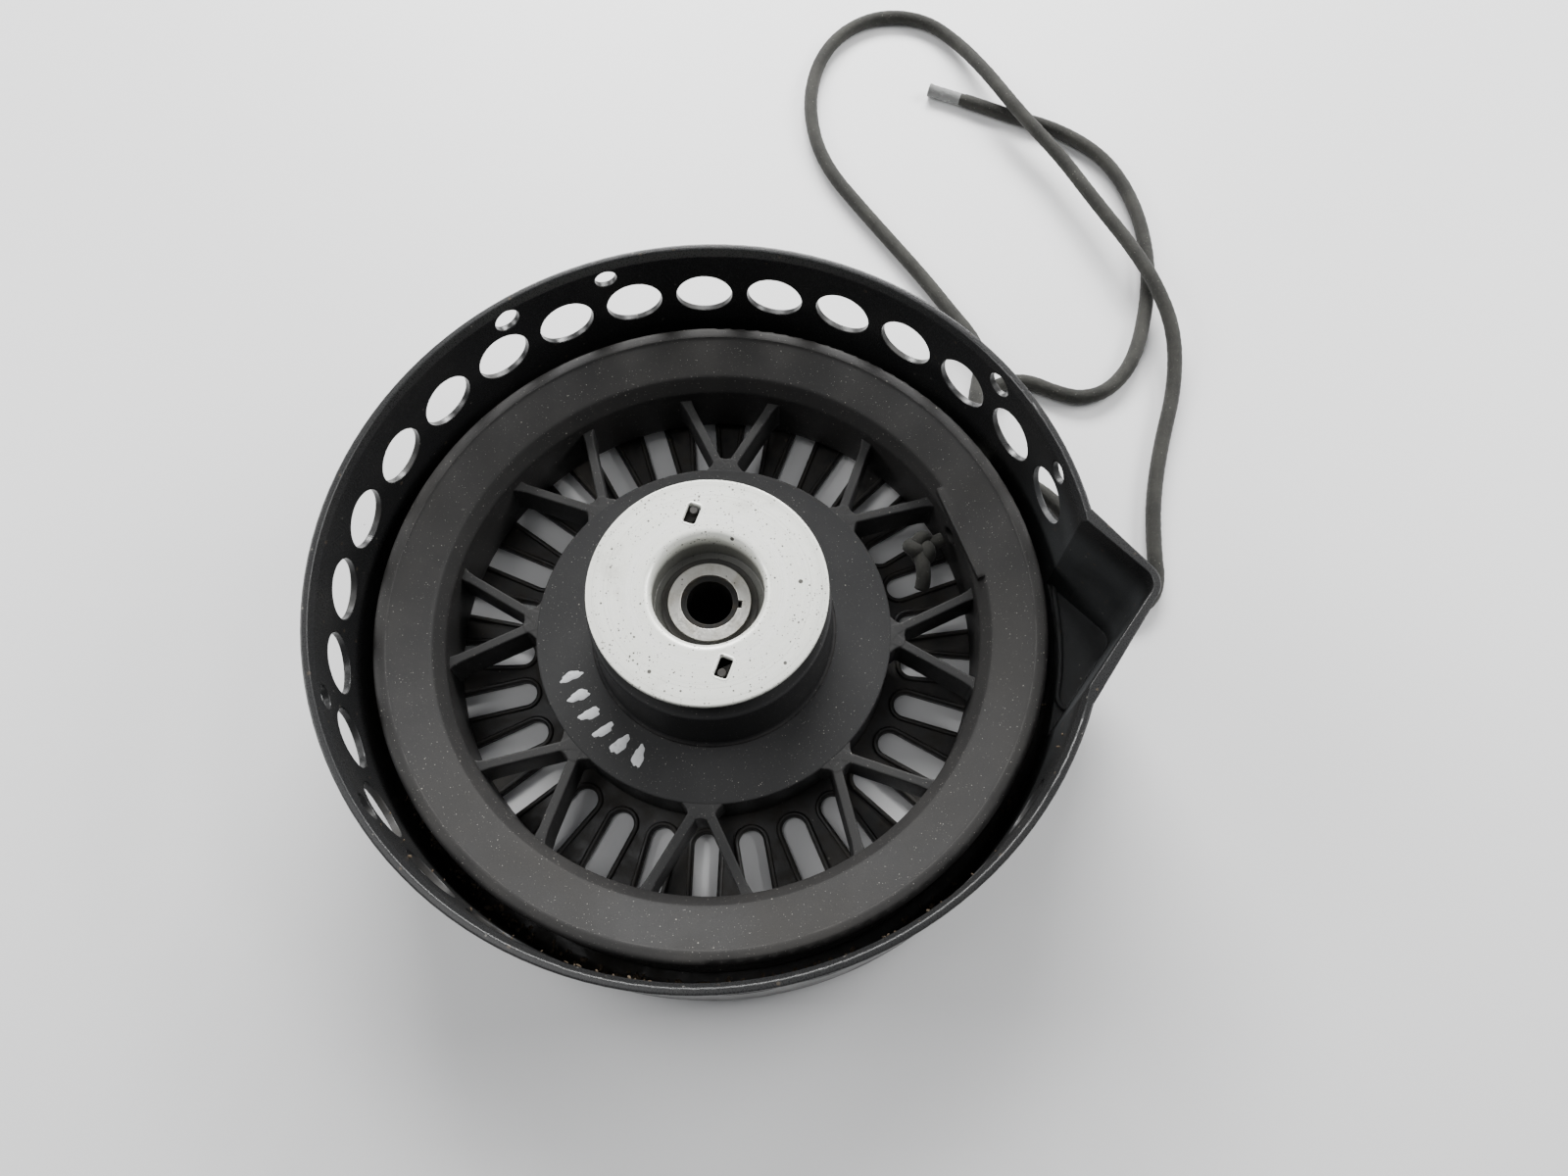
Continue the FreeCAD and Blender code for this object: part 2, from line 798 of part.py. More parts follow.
# The free rope: out of the guide low on the drum's wall, away over a big loop, back down beside
# the corner pocket, round beside it and under its own start, and out again to its bare end.
# Two humps pass over its last run.
FREE_ROPE = [
    (82.0, 69.2, 15.8),
    (82.2, 79.5, 14.2),
    (84.6, 89.8, 10.8),
    (87.0, 100.0, 8.2),
    (84.5, 111.5, 4.8),
    (78.5, 122.5, 2.8),
    (69.0, 138.0, 2.6),
    (52.0, 162.0, 2.7),
    (34.5, 188.0, 2.6),
    (29.5, 214.0, 2.6),
    (33.0, 236.0, 2.7),
    (42.5, 252.0, 2.6),
    (58.0, 261.0, 2.6),
    (75.5, 258.5, 2.7),
    (88.0, 245.5, 3.2),
    (96.5, 229.5, 6.0),
    (103.0, 214.0, 8.8),
    (111.0, 200.5, 8.8),
    (121.0, 186.0, 8.2),
    (131.5, 166.0, 8.0),
    (142.0, 146.0, 8.8),
    (149.0, 129.0, 8.8),
    (153.5, 112.0, 6.6),
    (152.0, 92.0, 3.2),
    (145.0, 71.0, 2.6),
    (140.0, 51.0, 2.6),
    (138.2, 34.0, 2.7),
    (138.0, 19.4, 2.6),
    (131.2, 12.4, 2.6),
    (121.6, 12.4, 2.7),
    (114.8, 19.4, 2.6),
    (115.2, 31.0, 2.6),
    (113.2, 43.0, 2.7),
    (106.0, 52.3, 2.6),
    (96.0, 59.3, 2.6),
    (88.6, 67.0, 2.7),
    (85.2, 76.0, 2.6),
    (85.6, 85.5, 2.6),
    (92.0, 94.0, 2.7),
    (102.3, 95.6, 2.6),
    (111.5, 90.9, 2.6),
    (120.8, 88.2, 2.7),
    (131.2, 92.2, 2.6),
    (140.8, 105.0, 2.6),
    (148.0, 131.0, 2.6),
    (149.5, 152.0, 2.6),
    (146.5, 173.0, 2.6),
    (138.0, 191.5, 2.6),
    (122.5, 204.0, 2.6),
    (105.0, 210.5, 2.6),
    (90.0, 217.5, 2.6),
    (75.5, 223.2, 2.6),
]


def cord_path(points):
    """Straight runs joined by tangent arcs, each as large as its two runs allow."""
    edges = []
    radii = []
    start = points[0]
    for before, here, after in zip(points, points[1:], points[2:]):
        into = (here - before).normalize()
        out = (after - here).normalize()
        half_turn = into.getAngle(out) / 2
        reach = 0.45 * min((here - before).Length, (after - here).Length)
        radii.append(reach / math.tan(half_turn))
        first = here - into * reach
        last = here + out * reach
        inward = (out - into).normalize()
        middle = here + inward * (radii[-1] / math.cos(half_turn) - radii[-1])
        edges.append(Part.LineSegment(start, first).toShape())
        edges.append(Part.Arc(first, middle, last).toShape())
        start = last
    edges.append(Part.LineSegment(start, points[-1]).toShape())
    return Part.Wire(edges), radii


route, radii = cord_path([Vector(*point) for point in FREE_ROPE])
end_face = Part.Circle(
    route.Vertexes[0].Point,
    Vector(*FREE_ROPE[1]) - Vector(*FREE_ROPE[0]),
    value("rope_radius"),
)
rope_shape = route.makePipeShell([Part.Wire(end_face.toShape())], True, True)
rope = doc.addObject("Part::Feature", "starter_rope")
rope.Shape = rope_shape
rope.Placement = Placement()
nodes.append(rope)
expected = math.pi * value("rope_radius") ** 2 * route.Length
print("rope length", round(route.Length, 1), "volume ratio", round(rope_shape.Volume / expected, 4))
print("smallest rope radii", [round(radius, 1) for radius in sorted(radii)[:6]])

# ---------------------------------------------------------------- friction plate
plate = new_body("friction_plate")
nodes.append(plate)
dish_outer = "(dish_inner + plate_sheet)"
revolve(
    plate,
    "dished_disc",
    [
        ("dish_bore", "dish_floor - plate_sheet"),
        (dish_outer, "dish_floor - plate_sheet"),
        (dish_outer, "plate_top - plate_sheet"),
        ("plate_radius", "plate_top - plate_sheet"),
        ("plate_radius", "plate_top"),
        ("dish_inner", "plate_top"),
        ("dish_inner", "dish_floor"),
        ("dish_bore", "dish_floor"),
    ],
)
round_edges(
    plate,
    "rolled_lip",
    "dish_roll",
    lambda edge,
    mid: is_circle(edge, value("dish_inner"), value("plate_top")),
)
round_edges(
    plate,
    "dish_foot",
    "plate_sheet",
    lambda edge, mid: is_circle(edge, value(dish_outer), value("dish_floor - plate_sheet")),
)
round_edges(
    plate,
    "disc_edge",
    "plate_sheet / 4",
    lambda edge, mid: is_circle(edge, value("plate_radius")),
)
cam_sketch = new_sketch(
    plate,
    "cam_slot_sketch",
    "XY_Plane",
    (*polar("slot_place", "slot_angle"), "plate_top + plate_sheet"),
    "slot_angle + slot_lean",
)
draw_outline(
    cam_sketch,
    [
        ("-slot_length / 2", "-slot_width / 2"),
        ("slot_length / 2", "-slot_width / 2"),
        ("slot_length / 2", "slot_width / 2"),
        ("-slot_length / 2", "slot_width / 2"),
    ],
)
cam_slot = pocket(plate, "cam_slot", cam_sketch, "3 * plate_sheet")
repeat(plate, "cam_slots", [cam_slot], "2", "180")
round_edges(
    plate,
    "cam_slot_corners",
    "plate_sheet / 2",
    lambda edge, mid: abs(edge.BoundBox.ZLength - value("plate_sheet")) < 0.01
    and edge.BoundBox.DiagonalLength < value("plate_sheet") + 0.01
    and math.hypot(mid.x, mid.y) > value("dish_inner + dish_roll"),
)
nodes.append(
    washer("friction_washer", "dish_bore", "friction_washer_radius", "dish_floor", "ring_bottom - 0.1"),
)

# ---------------------------------------------------------------- pawls, pins and springs
PAWL_OUTLINE = [
    (-2.1, -8.4),
    (1.1, -8.4),
    (3.7, -2.6),
    (4.0, 2.4),
    (1.6, 9.5),
    (-1.8, 15.6),
    (-6.6, 14.6),
    (-6.4, 11.4),
    (-4.2, 4.2),
    (-3.9, -1.8),
]
pins = []
for number, name in enumerate(("a", "b")):
    turn = 180 * number
    seat = Vector(*(pin_place * part for part in direction(pin_angle + turn)), 0)
    facing = Rotation(Vector(0, 0, 1), value("slot_angle") + turn)
    pawl = new_body("pawl_" + name)
    nodes.append(pawl)
    pad(pawl, "blade_" + name, PAWL_OUTLINE, "pawl_bottom", "pawl_top")
    round_edges(
        pawl,
        "blade_corners_" + name,
        "pawl_pin_radius / 2",
        lambda edge, mid: edge.BoundBox.ZLength > 4,
    )
    peg_sketch = new_sketch(pawl, "peg_sketch_" + name, "XY_Plane", ("peg_out", "peg_ahead", "pawl_top"))
    peg_sketch.addGeometry(Part.Circle(Vector(0, 0, 0), Vector(0, 0, 1), value("peg_radius")), False)
    peg_sketch.addConstraint(Sketcher.Constraint("Coincident", 0, 3, -1, 1))
    size_number = peg_sketch.addConstraint(Sketcher.Constraint("Radius", 0, value("peg_radius")))
    peg_sketch.setExpression(f"Constraints[{size_number}]", bound("peg_radius"))
    peg = pawl.newObject("PartDesign::Pad", "peg_" + name)
    peg.Profile = peg_sketch
    bind(peg, Length="peg_top - pawl_top")
    drill(
        pawl,
        "pin_bore_" + name,
        "pawl_bore",
        "pawl_top",
        Placement(Vector(0, 0, value("pawl_bottom - 1")), Rotation()),
    )
    pawl.Placement = Placement(seat, facing)

    foot = Placement(seat + Vector(0, 0, value("pawl_pin_foot")), Rotation())
    pins.append(round_bar("pawl_pin_" + name, "pawl_pin_radius", "pawl_pin_top - pawl_pin_foot", foot))

    coil = doc.addObject("Part::Torus", "hairpin_coil_" + name)
    bind(coil, Radius1="hairpin_radius", Radius2="hairpin_wire")
    height = value("(boss_top + pawl_bottom) / 2")
    coil.Placement = Placement(seat + Vector(0, 0, height), Rotation())
    leg_start = seat + facing.multVec(Vector(value("hairpin_radius"), -2 * value("hairpin_wire"), height))
    leg = round_bar(
        "hairpin_leg_" + name,
        "hairpin_wire",
        "hairpin_radius * 3",
        Placement(leg_start, facing * Rotation(Vector(1, 0, 0), -90)),
    )
    nodes.append(fused("pawl_spring_" + name, [coil, leg]))
nodes.append(joined("pawl_pins", pins))

brake = new_body("brake_spring")
nodes.append(brake)
revolve(
    brake,
    "spring_cone",
    [
        ("brake_foot_radius", "brake_bottom"),
        ("brake_foot_radius + brake_sheet", "brake_bottom"),
        ("brake_top_radius + brake_sheet", "brake_top"),
        ("brake_top_radius", "brake_top"),
    ],
)

# ---------------------------------------------------------------- checks and files
doc.recompute()
for thing in doc.Objects:
    if "Invalid" in thing.State or "Error" in thing.State:
        raise RuntimeError(f"{thing.Label}: {thing.State}")
os.makedirs("parts", exist_ok=True)
for node in nodes:
    shape = node.Shape
    if shape.isNull() or not shape.isValid() or not shape.Solids:
        raise RuntimeError(f"{node.Label}: bad shape")
    shape.exportStep(f"parts/{node.Label}.step")
    box = shape.BoundBox
    print(
        node.Label,
        len(shape.Solids),
        round(shape.Volume),
        [round(size, 1) for size in (box.XMin, box.YMin, box.ZMin, box.XMax, box.YMax, box.ZMax)],
    )
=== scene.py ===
import math
import random

import bmesh
import bpy
from mathutils import Matrix, Vector, noise


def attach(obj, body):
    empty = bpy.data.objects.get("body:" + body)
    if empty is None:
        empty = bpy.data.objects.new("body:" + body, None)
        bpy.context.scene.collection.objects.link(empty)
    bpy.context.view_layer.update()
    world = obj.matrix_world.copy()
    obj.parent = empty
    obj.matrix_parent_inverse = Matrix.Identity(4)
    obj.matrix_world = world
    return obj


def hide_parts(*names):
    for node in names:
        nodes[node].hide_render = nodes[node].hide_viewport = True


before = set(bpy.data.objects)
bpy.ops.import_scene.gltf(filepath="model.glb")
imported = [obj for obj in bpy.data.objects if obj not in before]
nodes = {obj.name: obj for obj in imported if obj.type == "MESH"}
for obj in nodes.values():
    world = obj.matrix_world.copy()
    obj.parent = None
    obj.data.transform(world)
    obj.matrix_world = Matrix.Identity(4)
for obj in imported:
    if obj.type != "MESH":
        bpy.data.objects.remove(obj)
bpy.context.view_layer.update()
MM = 0.001
BRAID_STRANDS = 12
BRAID_LAY = 11 * MM
BRAID_RELIEF = 0.075
BRAID_SHAPE = 0.6


# ---------------------------------------------------------------- helpers
def polar(radius, azimuth, height):
    """A point given in millimetres and degrees round the reel's axis."""
    turn = math.radians(azimuth)
    return Vector((radius * math.cos(turn), radius * math.sin(turn), height)) * MM


def new_object(name, mesh, material, body):
    piece = bpy.data.objects.new(name, mesh)
    bpy.context.scene.collection.objects.link(piece)
    mesh.materials.append(material)
    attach(piece, body)
    return piece


def mesh_from(name, bm, smooth=True):
    mesh = bpy.data.meshes.new(name)
    bm.to_mesh(mesh)
    bm.free()
    for face in mesh.polygons:
        face.use_smooth = smooth
    return mesh


def smooth_line(name, points, closed=False):
    """The points of one smooth curve drawn from its control points, read back as a mesh."""
    curve = bpy.data.curves.new(name, "CURVE")
    curve.dimensions = "3D"
    curve.resolution_u = 24
    spline = curve.splines.new("NURBS")
    spline.points.add(len(points) - 1)
    for point, place in zip(spline.points, points):
        point.co = (*place, 1)
    spline.order_u = 3
    spline.use_cyclic_u = closed
    spline.use_endpoint_u = not closed
    holder = bpy.data.objects.new(name, curve)
    bpy.context.scene.collection.objects.link(holder)
    bpy.context.view_layer.update()
    line = bpy.data.meshes.new_from_object(holder)
    places = [vertex.co.copy() for vertex in line.vertices]
    bpy.data.objects.remove(holder)
    bpy.data.meshes.remove(line)
    return places


def evenly(places, step):
    """The same line cut into equal steps."""
    total = sum((b - a).length for a, b in zip(places, places[1:]))
    count = max(2, round(total / step))
    wanted = [total * k / count for k in range(count + 1)]
    out = []
    gone = 0.0
    k = 0
    for a, b in zip(places, places[1:]):
        span = (b - a).length
        while k <= count and wanted[k] <= gone + span + 1e-9:
            out.append(a.lerp(b, min(1.0, max(0.0, (wanted[k] - gone) / span)) if span else 0.0))
            k += 1
        gone += span
    return out


def braided_tube(name, places, radius, sides, crush=None):
    """A tube round a line, with the over-and-under relief of a braided sheath."""
    bm = bmesh.new()
    side = (places[1] - places[0]).normalized().orthogonal().normalized()
    rings = []
    gone = 0.0
    for i, place in enumerate(places):
        ahead = places[min(i + 1, len(places) - 1)]
        behind = places[max(i - 1, 0)]
        if i:
            gone += (place - places[i - 1]).length
        forward = (ahead - behind).normalized()
        side = (side - forward * side.dot(forward)).normalized()
        other = forward.cross(side)
        size = radius * (crush(gone) if crush else 1.0)
        ring = []
        for k in range(sides):
            turn = 2 * math.pi * k / sides
            left = BRAID_STRANDS * turn / 2 + 2 * math.pi * gone / BRAID_LAY
            right = BRAID_STRANDS * turn / 2 - 2 * math.pi * gone / BRAID_LAY
            over = math.sin(left) * math.sin(right)
            out = size * (1 - BRAID_RELIEF + BRAID_RELIEF * abs(over) ** BRAID_SHAPE)
            ring.append(bm.verts.new(place + (side * math.cos(turn) + other * math.sin(turn)) * out))
        rings.append(ring)
    for one, two in zip(rings, rings[1:]):
        for k in range(sides):
            bm.faces.new((one[k], one[(k + 1) % sides], two[(k + 1) % sides], two[k]))
    for ring, turn in ((rings[0], -1), (rings[-1], 1)):
        bm.faces.new(ring[::turn])
    return mesh_from(name, bm)


# ---------------------------------------------------------------- camera
FOCAL_LENGTH = 26.43
CAMERA_PLACE = Vector((21.1, -113.4, 339.0)) * MM
right = Vector((1.0, 0.0, -0.0019)).normalized()
back = Vector((0.0018, -0.3686, 0.9296)).normalized()
up = back.cross(right).normalized()
camera_data = bpy.data.cameras.new("camera")
camera_data.sensor_width = 36
camera_data.lens = FOCAL_LENGTH
camera_data.clip_start = 0.01
camera = bpy.data.objects.new("camera", camera_data)
camera.matrix_world = Matrix((
    (right.x, up.x, back.x, CAMERA_PLACE.x),
    (right.y, up.y, back.y, CAMERA_PLACE.y),
    (right.z, up.z, back.z, CAMERA_PLACE.z),
    (0, 0, 0, 1),
))
bpy.context.scene.collection.objects.link(camera)
bpy.context.scene.camera = camera


# ---------------------------------------------------------------- materials
MIX_FACTOR, MIX_COLOUR_A, MIX_COLOUR_B, MIX_COLOUR_OUT = 0, 6, 7, 2


class Shade:
    """One node material, built up a layer at a time."""

    def __init__(self, name, colour, roughness, metallic=0.0, specular=0.5):
        self.material = bpy.data.materials.new(name)
        self.material.use_nodes = True
        self.tree = self.material.node_tree
        self.tree.nodes.clear()
        self.out = self.add("ShaderNodeOutputMaterial")
        self.skin = self.add("ShaderNodeBsdfPrincipled")
        self.link(self.skin.outputs[0], self.out.inputs[0])
        self.skin.inputs["Base Color"].default_value = (*colour, 1)
        self.skin.inputs["Roughness"].default_value = roughness
        self.skin.inputs["Metallic"].default_value = metallic
        self.skin.inputs["Specular IOR Level"].default_value = specular
        self.place = self.add("ShaderNodeTexCoord").outputs["Object"]
        self.normal = None
        self.colour = None
        self.rough = None

    def add(self, kind, **settings):
        node = self.tree.nodes.new(kind)
        for key, value in settings.items():
            setattr(node, key, value)
        return node

    def link(self, source, target):
        self.tree.links.new(source, target)

    def noise(self, scale, detail=3.0, rough=0.55, stretch=None, offset=0.0):
        """A noise value from 0 to 1; scale is in blobs per metre."""
        node = self.add("ShaderNodeTexNoise")
        node.inputs["Scale"].default_value = scale
        node.inputs["Detail"].default_value = detail
        node.inputs["Roughness"].default_value = rough
        self.link(self.moved(stretch or (1, 1, 1), offset), node.inputs["Vector"])
        return node.outputs["Fac"]

    def moved(self, stretch, offset):
        node = self.add("ShaderNodeMapping")
        node.inputs["Scale"].default_value = stretch
        node.inputs["Location"].default_value = (offset, offset * 0.7, offset * 1.3)
        self.link(self.place, node.inputs["Vector"])
        return node.outputs["Vector"]

    def range(self, value, low, high, to_low=0.0, to_high=1.0):
        node = self.add("ShaderNodeMapRange")
        node.interpolation_type = "SMOOTHSTEP"
        for key, number in (("From Min", low), ("From Max", high), ("To Min", to_low), ("To Max", to_high)):
            node.inputs[key].default_value = number
        self.link(value, node.inputs["Value"])
        return node.outputs["Result"]

    def math(self, operation, a, b=None):
        node = self.add("ShaderNodeMath", operation=operation)
        for socket, value in zip(node.inputs, (a, b)):
            if value is None:
                continue
            if isinstance(value, (int, float)):
                socket.default_value = value
            else:
                self.link(value, socket)
        return node.outputs[0]

    def axis(self, letter):
        node = self.add("ShaderNodeSeparateXYZ")
        self.link(self.place, node.inputs[0])
        return node.outputs[letter]

    def radius(self):
        """Distance from the reel's axis, in metres."""
        x = self.axis("X")
        y = self.axis("Y")
        squares = self.math("ADD", self.math("MULTIPLY", x, x), self.math("MULTIPLY", y, y))
        return self.math("SQRT", squares)

    def facing_up(self, low=0.3, high=0.9):
        """1 where the surface faces up, as settled dust does."""
        geometry = self.add("ShaderNodeNewGeometry")
        split = self.add("ShaderNodeSeparateXYZ")
        self.link(geometry.outputs["Normal"], split.inputs[0])
        return self.range(split.outputs["Z"], low, high)

    def edges(self, width, low=0.02, high=0.25):
        """1 along sharp edges, from how far a bevelled normal leans from the real one."""
        bevel = self.add("ShaderNodeBevel", samples=6)
        bevel.inputs["Radius"].default_value = width
        geometry = self.add("ShaderNodeNewGeometry")
        dot = self.add("ShaderNodeVectorMath", operation="DOT_PRODUCT")
        self.link(bevel.outputs[0], dot.inputs[0])
        self.link(geometry.outputs["Normal"], dot.inputs[1])
        return self.range(self.math("SUBTRACT", 1.0, dot.outputs["Value"]), low, high)

    def specks(self, scale, share, offset=0.0):
        """Small separate dots on that share of the surface."""
        cells = self.add("ShaderNodeTexVoronoi")
        cells.inputs["Scale"].default_value = scale
        cells.inputs["Randomness"].default_value = 1.0
        self.link(self.moved((1, 1, 1), offset), cells.inputs["Vector"])
        split = self.add("ShaderNodeSeparateColor")
        self.link(cells.outputs["Color"], split.inputs[0])
        chosen = self.math("LESS_THAN", split.outputs["Red"], share)
        size = self.math("MULTIPLY", split.outputs["Green"], 0.26)
        near = self.math("LESS_THAN", cells.outputs["Distance"], self.math("ADD", size, 0.06))
        return self.math("MULTIPLY", chosen, near)

    def tint(self, mask, colour, strength=1.0):
        """Mixes a colour in where the mask is."""
        mix = self.add("ShaderNodeMix", data_type="RGBA")
        base = self.skin.inputs["Base Color"]
        if self.colour is None:
            mix.inputs[MIX_COLOUR_A].default_value = base.default_value
        else:
            self.link(self.colour, mix.inputs[MIX_COLOUR_A])
        mix.inputs[MIX_COLOUR_B].default_value = (*colour, 1)
        self.link(self.math("MULTIPLY", mask, strength), mix.inputs[MIX_FACTOR])
        self.colour = mix.outputs[MIX_COLOUR_OUT]
        self.link(self.colour, base)

    def roughen(self, mask, amount):
        """Adds to the roughness where the mask is; a negative amount polishes."""
        base = self.rough if self.rough is not None else self.skin.inputs["Roughness"].default_value
        total = self.math("ADD", base, self.math("MULTIPLY", mask, amount))
        clamp = self.add("ShaderNodeClamp")
        clamp.inputs["Min"].default_value = 0.04
        self.link(total, clamp.inputs["Value"])
        self.rough = clamp.outputs[0]
        self.link(self.rough, self.skin.inputs["Roughness"])

    def bump(self, height, depth, strength=1.0):
        node = self.add("ShaderNodeBump")
        node.inputs["Strength"].default_value = strength
        node.inputs["Distance"].default_value = depth
        self.link(height, node.inputs["Height"])
        if self.normal is not None:
            self.link(self.normal, node.inputs["Normal"])
        self.normal = node.outputs[0]
        self.link(self.normal, self.skin.inputs["Normal"])

    def soften(self, width):
        """Rounds sharp edges by that radius in the shading."""
        bevel = self.add("ShaderNodeBevel", samples=6)
        bevel.inputs["Radius"].default_value = width
        self.normal = bevel.outputs[0]
        self.link(self.normal, self.skin.inputs["Normal"])


def black_paint():
    shade = Shade("worn_black_paint", (0.0150, 0.0152, 0.0156), 0.27)
    shade.soften(0.0006)
    orange_peel = shade.noise(900, 2)
    patches = shade.noise(38, 5, 0.6)
    fine = shade.noise(2600, 2, 0.6)
    below_rim = shade.range(shade.axis("Z"), 0.060, 0.050)
    settled = shade.math("MULTIPLY", shade.facing_up(0.1, 0.9), below_rim)
    dust = shade.math("MULTIPLY", settled, shade.range(shade.noise(70, 6, 0.65, offset=3), 0.42, 0.75))
    low = shade.range(shade.axis("Z"), 0.030, 0.006)
    grime = shade.math("MULTIPLY", low, shade.range(shade.noise(120, 6, 0.7, offset=9), 0.35, 0.7))
    shade.tint(shade.range(patches, 0.45, 0.75), (0.024, 0.0235, 0.023), 0.7)
    shade.tint(dust, (0.085, 0.078, 0.066), 0.30)
    shade.tint(grime, (0.060, 0.048, 0.034), 0.35)
    # Cool, rough lighter film in the pocket below the rim: partly dust, partly a painted reflection off the
    # shelf.
    in_pocket = shade.math("MULTIPLY", shade.range(shade.axis("X"), 0.088, 0.100), below_rim)
    cloudy = shade.range(shade.noise(55, 5, 0.6, offset=16), 0.25, 0.65, 0.45, 1.0)
    film_and_sheen = shade.math("MULTIPLY", in_pocket, cloudy)
    shade.tint(film_and_sheen, (0.050, 0.053, 0.055), 0.75)
    shade.roughen(film_and_sheen, 0.22)
    edge = shade.edges(0.0005, 0.05, 0.35)
    worn = shade.math("MULTIPLY", edge, shade.range(shade.noise(210, 6, 0.75, offset=5), 0.40, 0.62))
    shade.tint(worn, (0.085, 0.094, 0.091), 0.55)
    rust = shade.math("MULTIPLY", edge, shade.range(shade.noise(260, 5, 0.7, offset=14), 0.60, 0.70))
    shade.tint(rust, (0.115, 0.052, 0.022), 0.85)
    shade.tint(shade.specks(520, 0.05, offset=2), (0.075, 0.060, 0.045), 0.7)
    shade.tint(shade.specks(900, 0.02, offset=6), (0.20, 0.19, 0.17), 0.6)
    scratch = shade.range(shade.noise(60, 3, 0.5, stretch=(1.0, 1.0, 26.0), offset=1), 0.70, 0.74)
    shade.tint(scratch, (0.05, 0.05, 0.048), 0.35)
    shade.roughen(dust, 0.35)
    shade.roughen(grime, 0.30)
    shade.roughen(shade.range(fine, 0.4, 0.7), 0.10)
    shade.bump(orange_peel, 0.00006, 0.5)
    shade.bump(fine, 0.00002, 0.5)
    return shade.material


def black_nylon(name, colour, warm, dusty, rounding):
    """Glass-filled moulded plastic with settled dust; warm is its brown cast."""
    shade = Shade(name, colour, 0.50, specular=0.27)
    shade.soften(rounding)
    grain = shade.noise(3200, 2, 0.7)
    mottled = shade.noise(95, 6, 0.65)
    sweep = shade.noise(22, 4, 0.55, offset=7)
    shade.tint(shade.range(mottled, 0.40, 0.72), warm, 0.55)
    dust = shade.math("MULTIPLY", shade.facing_up(), shade.range(sweep, 0.36, 0.72))
    shade.tint(dust, dusty, 0.50)
    turned = shade.noise(1500, 3, 0.6, offset=4)
    shade.tint(shade.range(turned, 0.62, 0.78), (0.12, 0.112, 0.10), 0.30)
    shade.tint(shade.specks(2300, 0.055, offset=1), (0.26, 0.25, 0.23), 0.8)
    shade.tint(shade.specks(3400, 0.060, offset=13), (0.20, 0.19, 0.17), 0.7)
    shade.tint(shade.specks(1500, 0.007, offset=8), (0.30, 0.285, 0.25), 0.8)
    patchy = shade.range(shade.noise(160, 5, 0.7, offset=2), 0.3, 0.6)
    worn = shade.math("MULTIPLY", shade.edges(0.0009), patchy)
    shade.tint(worn, (0.105, 0.10, 0.096), 0.5)
    shade.roughen(dust, 0.22)
    shade.roughen(shade.range(grain, 0.35, 0.7), 0.08)
    shade.bump(grain, 0.00005, 0.55)
    shade.bump(mottled, 0.00012, 0.25)
    return shade.material


def zinc_plate():
    """Zinc-plated pressed steel, dulled, with dark pits and faint rubbed rings."""
    shade = Shade("dull_zinc_plate", (0.90, 0.91, 0.84), 0.42, 0.35, 0.5)
    shade.soften(0.0005)
    cloudy = shade.noise(120, 6, 0.6)
    radius = shade.radius()
    ringed = shade.add("ShaderNodeTexNoise", noise_dimensions="1D")
    ringed.inputs["Scale"].default_value = 2600
    ringed.inputs["Detail"].default_value = 4
    shade.link(radius, ringed.inputs["W"])
    rings = ringed.outputs["Fac"]
    shade.tint(shade.range(cloudy, 0.35, 0.7), (0.95, 0.955, 0.90), 0.6)
    shade.tint(shade.range(rings, 0.58, 0.8), (0.50, 0.50, 0.46), 0.30)
    stain = shade.math("MULTIPLY", shade.range(shade.noise(60, 6, 0.7, offset=11), 0.56, 0.78), 0.5)
    shade.tint(stain, (0.44, 0.42, 0.36))
    fine = shade.noise(1900, 4, 0.75)
    shade.tint(shade.range(fine, 0.62, 0.78), (0.36, 0.35, 0.31), 0.55)
    shade.tint(shade.specks(1500, 0.34, offset=3), (0.18, 0.17, 0.145), 0.9)
    shade.tint(shade.specks(950, 0.24, offset=21), (0.08, 0.075, 0.062), 0.95)
    shade.tint(shade.specks(480, 0.050, offset=12), (0.05, 0.046, 0.040), 0.95)
    nicks = shade.range(shade.noise(420, 2, 0.5, stretch=(1.0, 3.2, 1.0), offset=17), 0.735, 0.75)
    shade.tint(nicks, (0.10, 0.09, 0.075), 0.85)
    # Painted highlight: a lighter ring just outside the dish's rolled lip, standing in for the light it
    # catches.
    lip_highlight = shade.math("MULTIPLY", shade.range(radius, 0.0185, 0.0205), shade.range(radius, 0.0235, 0.0215))
    shade.tint(lip_highlight, (0.97, 0.97, 0.93), 0.5)
    outer = shade.range(radius, 0.0285, 0.0325)
    shade.tint(outer, (0.66, 0.67, 0.61), 0.35)
    # Painted shade: everything in the dish below the plate face is darkened to stand in for the shadow
    # inside it.
    dish_shade = shade.range(shade.axis("Z"), 0.0506, 0.0462)
    shade.tint(dish_shade, (0.080, 0.079, 0.072), 0.90)
    shade.roughen(shade.range(fine, 0.4, 0.7), 0.12)
    shade.roughen(shade.range(rings, 0.4, 0.7), -0.08)
    shade.bump(rings, 0.00003, 0.35)
    shade.bump(fine, 0.00004, 0.4)
    return shade.material


def steel(name, colour, roughness, stained):
    shade = Shade(name, colour, roughness, 0.9)
    shade.soften(0.0003)
    fine = shade.noise(1500, 4, 0.7)
    shade.tint(shade.range(shade.noise(240, 5, 0.7), 0.45, 0.7), stained, 0.6)
    shade.tint(shade.specks(900, 0.06, offset=3), (0.06, 0.05, 0.04), 0.8)
    shade.roughen(shade.range(fine, 0.35, 0.7), 0.18)
    shade.bump(fine, 0.00003, 0.4)
    return shade.material


def soft_metal():
    shade = Shade("oil_bronze", (0.34, 0.235, 0.13), 0.42, 0.85)
    shade.soften(0.0003)
    pores = shade.noise(2400, 3, 0.7)
    shade.tint(shade.range(shade.noise(300, 5, 0.6), 0.45, 0.7), (0.11, 0.08, 0.05), 0.7)
    shade.roughen(shade.range(pores, 0.4, 0.7), 0.2)
    shade.bump(pores, 0.00005, 0.5)
    return shade.material


